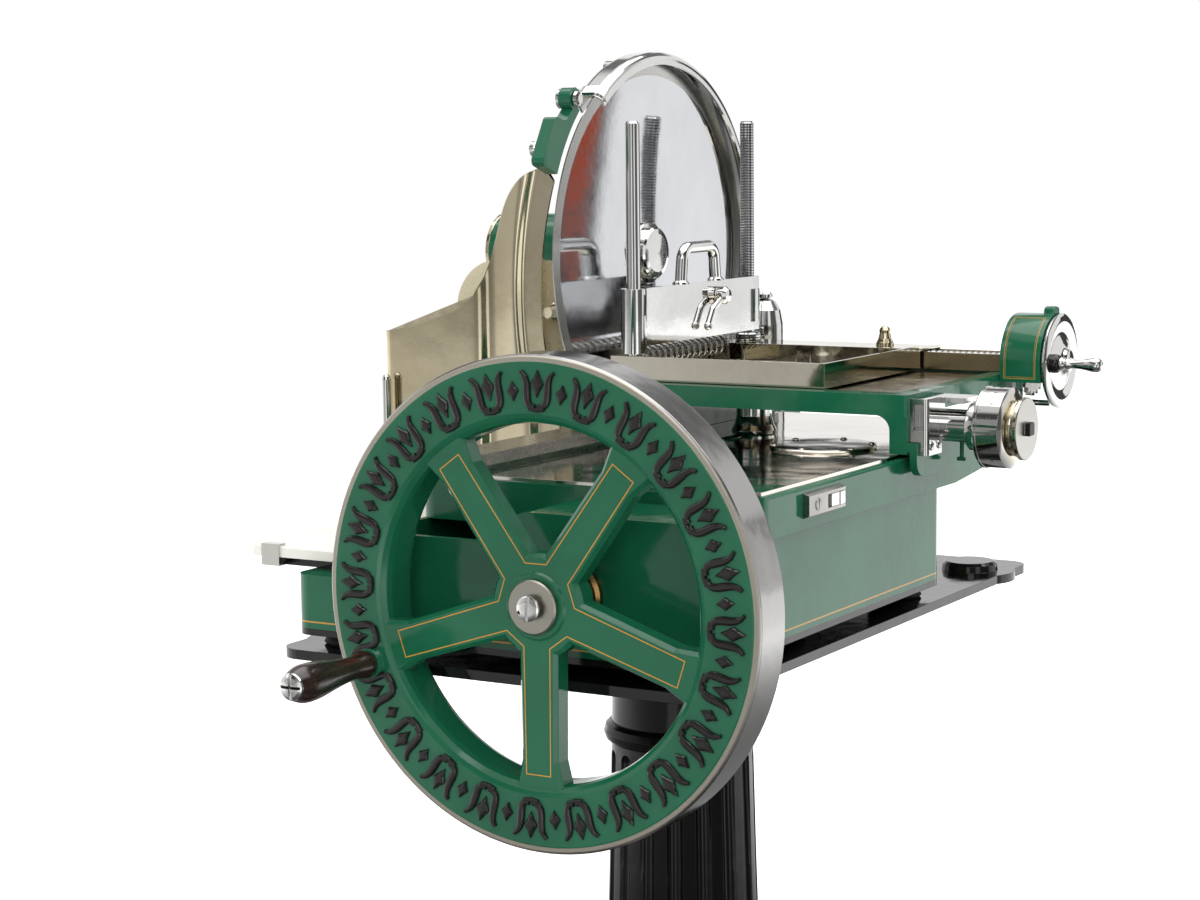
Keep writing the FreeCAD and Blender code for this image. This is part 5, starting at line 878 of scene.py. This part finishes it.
def deflector_sheet():
    """The sheet in front of the slices' path.  Its right side follows the knife's edge in a hollow curve."""
    sheet, rows, low = 2.5, 30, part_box("deflector")[0][2] / MM
    plan = ((-332, 33), (-326, 27), (-226, 27), (-214, 34), (-176, 30), (-168, 36), (-147, 36))
    stations = filled_in(rounded_path(plan, (8.5, 18.5, 16, 12.5, 10)), 3.0)
    top_line = solid_top("deflector", 1012.0)
    fall_start, fall_length, fall = -170.0, 27.0, 20.0
    bow_start, bow_length = -214.0, 60.0
    hollow_z, hollow_half, deepest, furthest = 1050.0, 112.0, -15.0, 3.0

    def place(x, y, share):
        """A point of the sheet; share is 0 at its foot and 1 at its top, which falls at the right."""
        top = read_off(top_line, x) - fall * max(0.0, (x - fall_start) / fall_length) ** 2
        z = low + (top - low) * share
        t = min(1.0, max(0.0, (x - bow_start) / bow_length))
        bow = deepest + (furthest - deepest) * ((z - hollow_z) / hollow_half) ** 2
        return (x + min(furthest, bow) * t * t * (3 - 2 * t), y, z)

    loops = []
    for r in range(rows + 1):
        front = [place(x, y, r / rows) for x, y, _, _ in stations]
        back = [(x + nx * sheet, y + ny * sheet, z) for (x, y, z), (_, _, nx, ny) in zip(front, stations)]
        loops.append(front + back[::-1])
    made = piece("deflector_sheet", stack(loops), "stand", "nickel", 40)
    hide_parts("deflector")


def plate_nut():
    """The knurled thumb nut that holds the sheet to the plate behind it."""
    x, y, z = -157.0, 60.0, 1034.0
    nut = spun([(0, 10.5), (1.4, 10.5), (1.6, 8.8), (6.8, 8.8), (8.2, 7.6), (8.4, 5.4), (12.5, 5.2),
                (13.6, 4.0)], lambda along, u, v: (x + u, y - along, z + v), 48, knurl=0.07)
    piece("plate_nut", nut, "stand", "chrome", 25)


deflector_sheet()
plate_nut()


# ---------------------------------------------------------------- studio, in metres
WHITE, WARM = (1, 1, 1, 1), linear(214, 92, 58)
FLOOR_RADIUS, FLOOR_HEIGHT = 14, -0.0002
FLOOR_DIRECT = (0.8, 3.2, 0.36, 1.0)     # distances between which it goes from one brightness to another
FLOOR_REFLECTED = (0.9, 3.6, 0.1, 1.0)
WALLS = (                                # degrees round the compass, brightness
    (-180, 1.0), (-160, 1.0), (-122, 0.42), (-100, 0.3), (-86, 0.3), (-82, 1.0), (-70, 1.0), (-66, 0.15),
    (-44, 0.12), (-40, 1.0), (-26, 1.0), (-22, 0.12), (14, 0.12), (24, 1.0), (180, 1.0))
WALL_TOP = (0.40, 0.48, 1.0, 0.2)        # heights between which the walls go from one brightness to another
CEILING = (0.62, 0.74, 0.0, 0.75)
SOFTBOXES = (                            # direction, how close to it the box begins, brightness
    ((0.42, -0.77, 0.48), 0.982, 2.4), ((-0.75, -0.45, 0.48), 0.986, 1.6))
SOFTBOX_EDGE = 0.006
DARK_BOARD = ((64.2, 98.0, 1.0), (-0.075, 0.22, 0.01))       # its degrees and its heights, each with an edge
WARM_BOARD = ((65.0, 68.4, 0.5), (-0.062, -0.047, 0.003))
DARK_DEPTH, WARM_LIGHT = 0.94, 0.6
AMBIENT = 0.5
LAMPS = (                                # name, place, target, width, height, power, whether metal shows it
    ("key", (1.6, -2.9, 2.7), (0, 0, 0.9), 3.0, 2.2, 60, False),
    ("fill", (-2.8, -1.6, 1.9), (0, 0, 0.9), 2.6, 2.4, 34, False),
    ("top", (0.2, 0.3, 3.3), (0, 0.1, 0.9), 3.2, 3.2, 60, True),
    ("back", (2.2, 2.4, 2.1), (0, 0, 0.9), 3.0, 2.4, 30, False))
CAMERA_PLACE = (1.048, -1.908, 1.190)
CAMERA_YAW, CAMERA_PITCH, CAMERA_ROLL = 30.60, 7.01, -0.65
SENSOR_WIDTH = 36.0
FOCAL_SHARE = 2533.0 / 1200.0            # focal length over the width of the picture


def turn_of(w, axes):
    """The compass direction of the axes, in degrees from +X towards +Y."""
    return w.product(w.math("ARCTAN2", axes["Y"], axes["X"]), 180 / math.pi)


def walls_at(w, axes):
    """How bright the studio's walls are in the compass direction of the axes."""
    made = w.node("ShaderNodeValToRGB", Fac=w.math("ADD", w.math("DIVIDE", turn_of(w, axes), 360.0), 0.5))
    stops = made.color_ramp.elements
    while len(stops) < len(WALLS):
        stops.new(0.5)
    for stop, (degrees, brightness) in zip(stops, WALLS):
        stop.position = 0.5 + degrees / 360
        stop.color = (brightness, brightness, brightness, 1)
    return made.outputs["Color"]


def board(w, turn, height, edges):
    """1 on a board of the studio, between two turns and two heights."""
    turns, heights = edges
    return w.product(w.between(turn, *turns), w.between(height, *heights))


def rays(w):
    """1 for rays straight from the camera, and 1 for rays by way of metal or glass."""
    path = w.node("ShaderNodeLightPath").outputs
    return path["Is Camera Ray"], w.math("MAXIMUM", path["Is Glossy Ray"], path["Is Transmission Ray"])


def make_floor():
    """A pale disc that fades to white; in metal it shows the walls that stand behind it."""
    mesh = bpy.data.meshes.new("floor")
    work = bmesh.new()
    bmesh.ops.create_circle(work, cap_ends=True, radius=FLOOR_RADIUS, segments=96)
    work.to_mesh(mesh)
    work.free()
    floor = bpy.data.objects.new("floor", mesh)
    floor.location = (0, 0, FLOOR_HEIGHT)
    scene.collection.objects.link(floor)
    s = Shader("pale_floor", ramp="SMOOTHSTEP")
    grain = s.node("ShaderNodeTexNoise", Scale=300).outputs["Fac"]
    s.normal = s.node("ShaderNodeBump", Strength=0.05, Height=grain).outputs["Normal"]
    distance = s.vector("LENGTH", s.place, (0, 0, 0), "Value")
    camera_ray, mirrored = rays(s)
    walls = s.product(s.span(distance, *FLOOR_REFLECTED), walls_at(s, s.axes(s.place)))
    reflected = s.product(mirrored, walls)
    direct = s.product(camera_ray, s.span(distance, *FLOOR_DIRECT))
    s.put("Emission Color", WHITE)
    s.put("Emission Strength", s.math("ADD", direct, reflected))
    lit = s.math("ADD", s.math("SUBTRACT", 1.0, mirrored), reflected)
    floor.data.materials.append(s.done(s.product(lit, 0.86), 0.6))


def make_world():
    """White to the eye; in metal a studio of walls, a ceiling, two softboxes, a dark and a warm board."""
    world = bpy.data.worlds.new("studio")
    scene.world = world
    world.use_nodes = True
    world.node_tree.nodes.clear()
    w = Wiring(world.node_tree, "SMOOTHSTEP")
    way = w.node("ShaderNodeTexCoord").outputs["Generated"]
    axes = w.axes(way)
    turn, height = turn_of(w, axes), axes["Z"]
    dark, warm = board(w, turn, height, DARK_BOARD), board(w, turn, height, WARM_BOARD)
    walls = w.product(walls_at(w, axes), w.math("SUBTRACT", 1.0, w.product(dark, DARK_DEPTH)))
    walls = w.math("MAXIMUM", walls, w.product(warm, WARM_LIGHT))
    bright = w.math("ADD", w.product(walls, w.span(height, *WALL_TOP)), w.span(height, *CEILING))
    for middle, start, brightness in SOFTBOXES:
        facing = w.vector("DOT_PRODUCT", way, middle, "Value")
        bright = w.math("MAXIMUM", bright, w.span(facing, start - SOFTBOX_EDGE, start, 0.0, brightness))
    camera_ray, mirrored = rays(w)
    seen = w.math("ADD", camera_ray, w.product(mirrored, bright))
    unseen = w.math("SUBTRACT", 1.0, w.math("MAXIMUM", camera_ray, mirrored))
    background = w.node("ShaderNodeBackground", Color=w.mix(w.product(warm, mirrored), WHITE, WARM),
                        Strength=w.math("ADD", seen, w.product(unseen, AMBIENT)))
    w.node("ShaderNodeOutputWorld", Surface=background.outputs[0])


def area_lamp(name, place, target, width, height, power, mirrored):
    data = bpy.data.lights.new(name, "AREA")
    data.shape = "RECTANGLE"
    data.size, data.size_y, data.energy = width, height, power
    lamp = bpy.data.objects.new(name, data)
    lamp.location = place
    lamp.rotation_euler = (Vector(target) - Vector(place)).to_track_quat("-Z", "Y").to_euler()
    lamp.visible_glossy = mirrored
    scene.collection.objects.link(lamp)


def make_camera():
    yaw, pitch, roll = (math.radians(v) for v in (CAMERA_YAW, CAMERA_PITCH, CAMERA_ROLL))
    forward = Vector((-math.sin(yaw) * math.cos(pitch), math.cos(yaw) * math.cos(pitch), -math.sin(pitch)))
    level = Vector((math.cos(yaw), math.sin(yaw), 0))
    upward = level.cross(forward)
    right = level * math.cos(roll) + upward * math.sin(roll)
    top = -level * math.sin(roll) + upward * math.cos(roll)
    data = bpy.data.cameras.new("camera")
    data.sensor_fit = "HORIZONTAL"
    data.sensor_width = SENSOR_WIDTH
    data.lens = SENSOR_WIDTH * FOCAL_SHARE
    data.clip_end = 100.0
    camera = bpy.data.objects.new("camera", data)
    camera.matrix_world = (Matrix.Translation(Vector(CAMERA_PLACE))
                           @ Matrix((right, top, -forward)).transposed().to_4x4())
    scene.collection.objects.link(camera)
    scene.camera = camera


make_floor()
make_world()
for lamp_values in LAMPS:
    area_lamp(*lamp_values)
make_camera()
scene.view_settings.view_transform = "Standard"
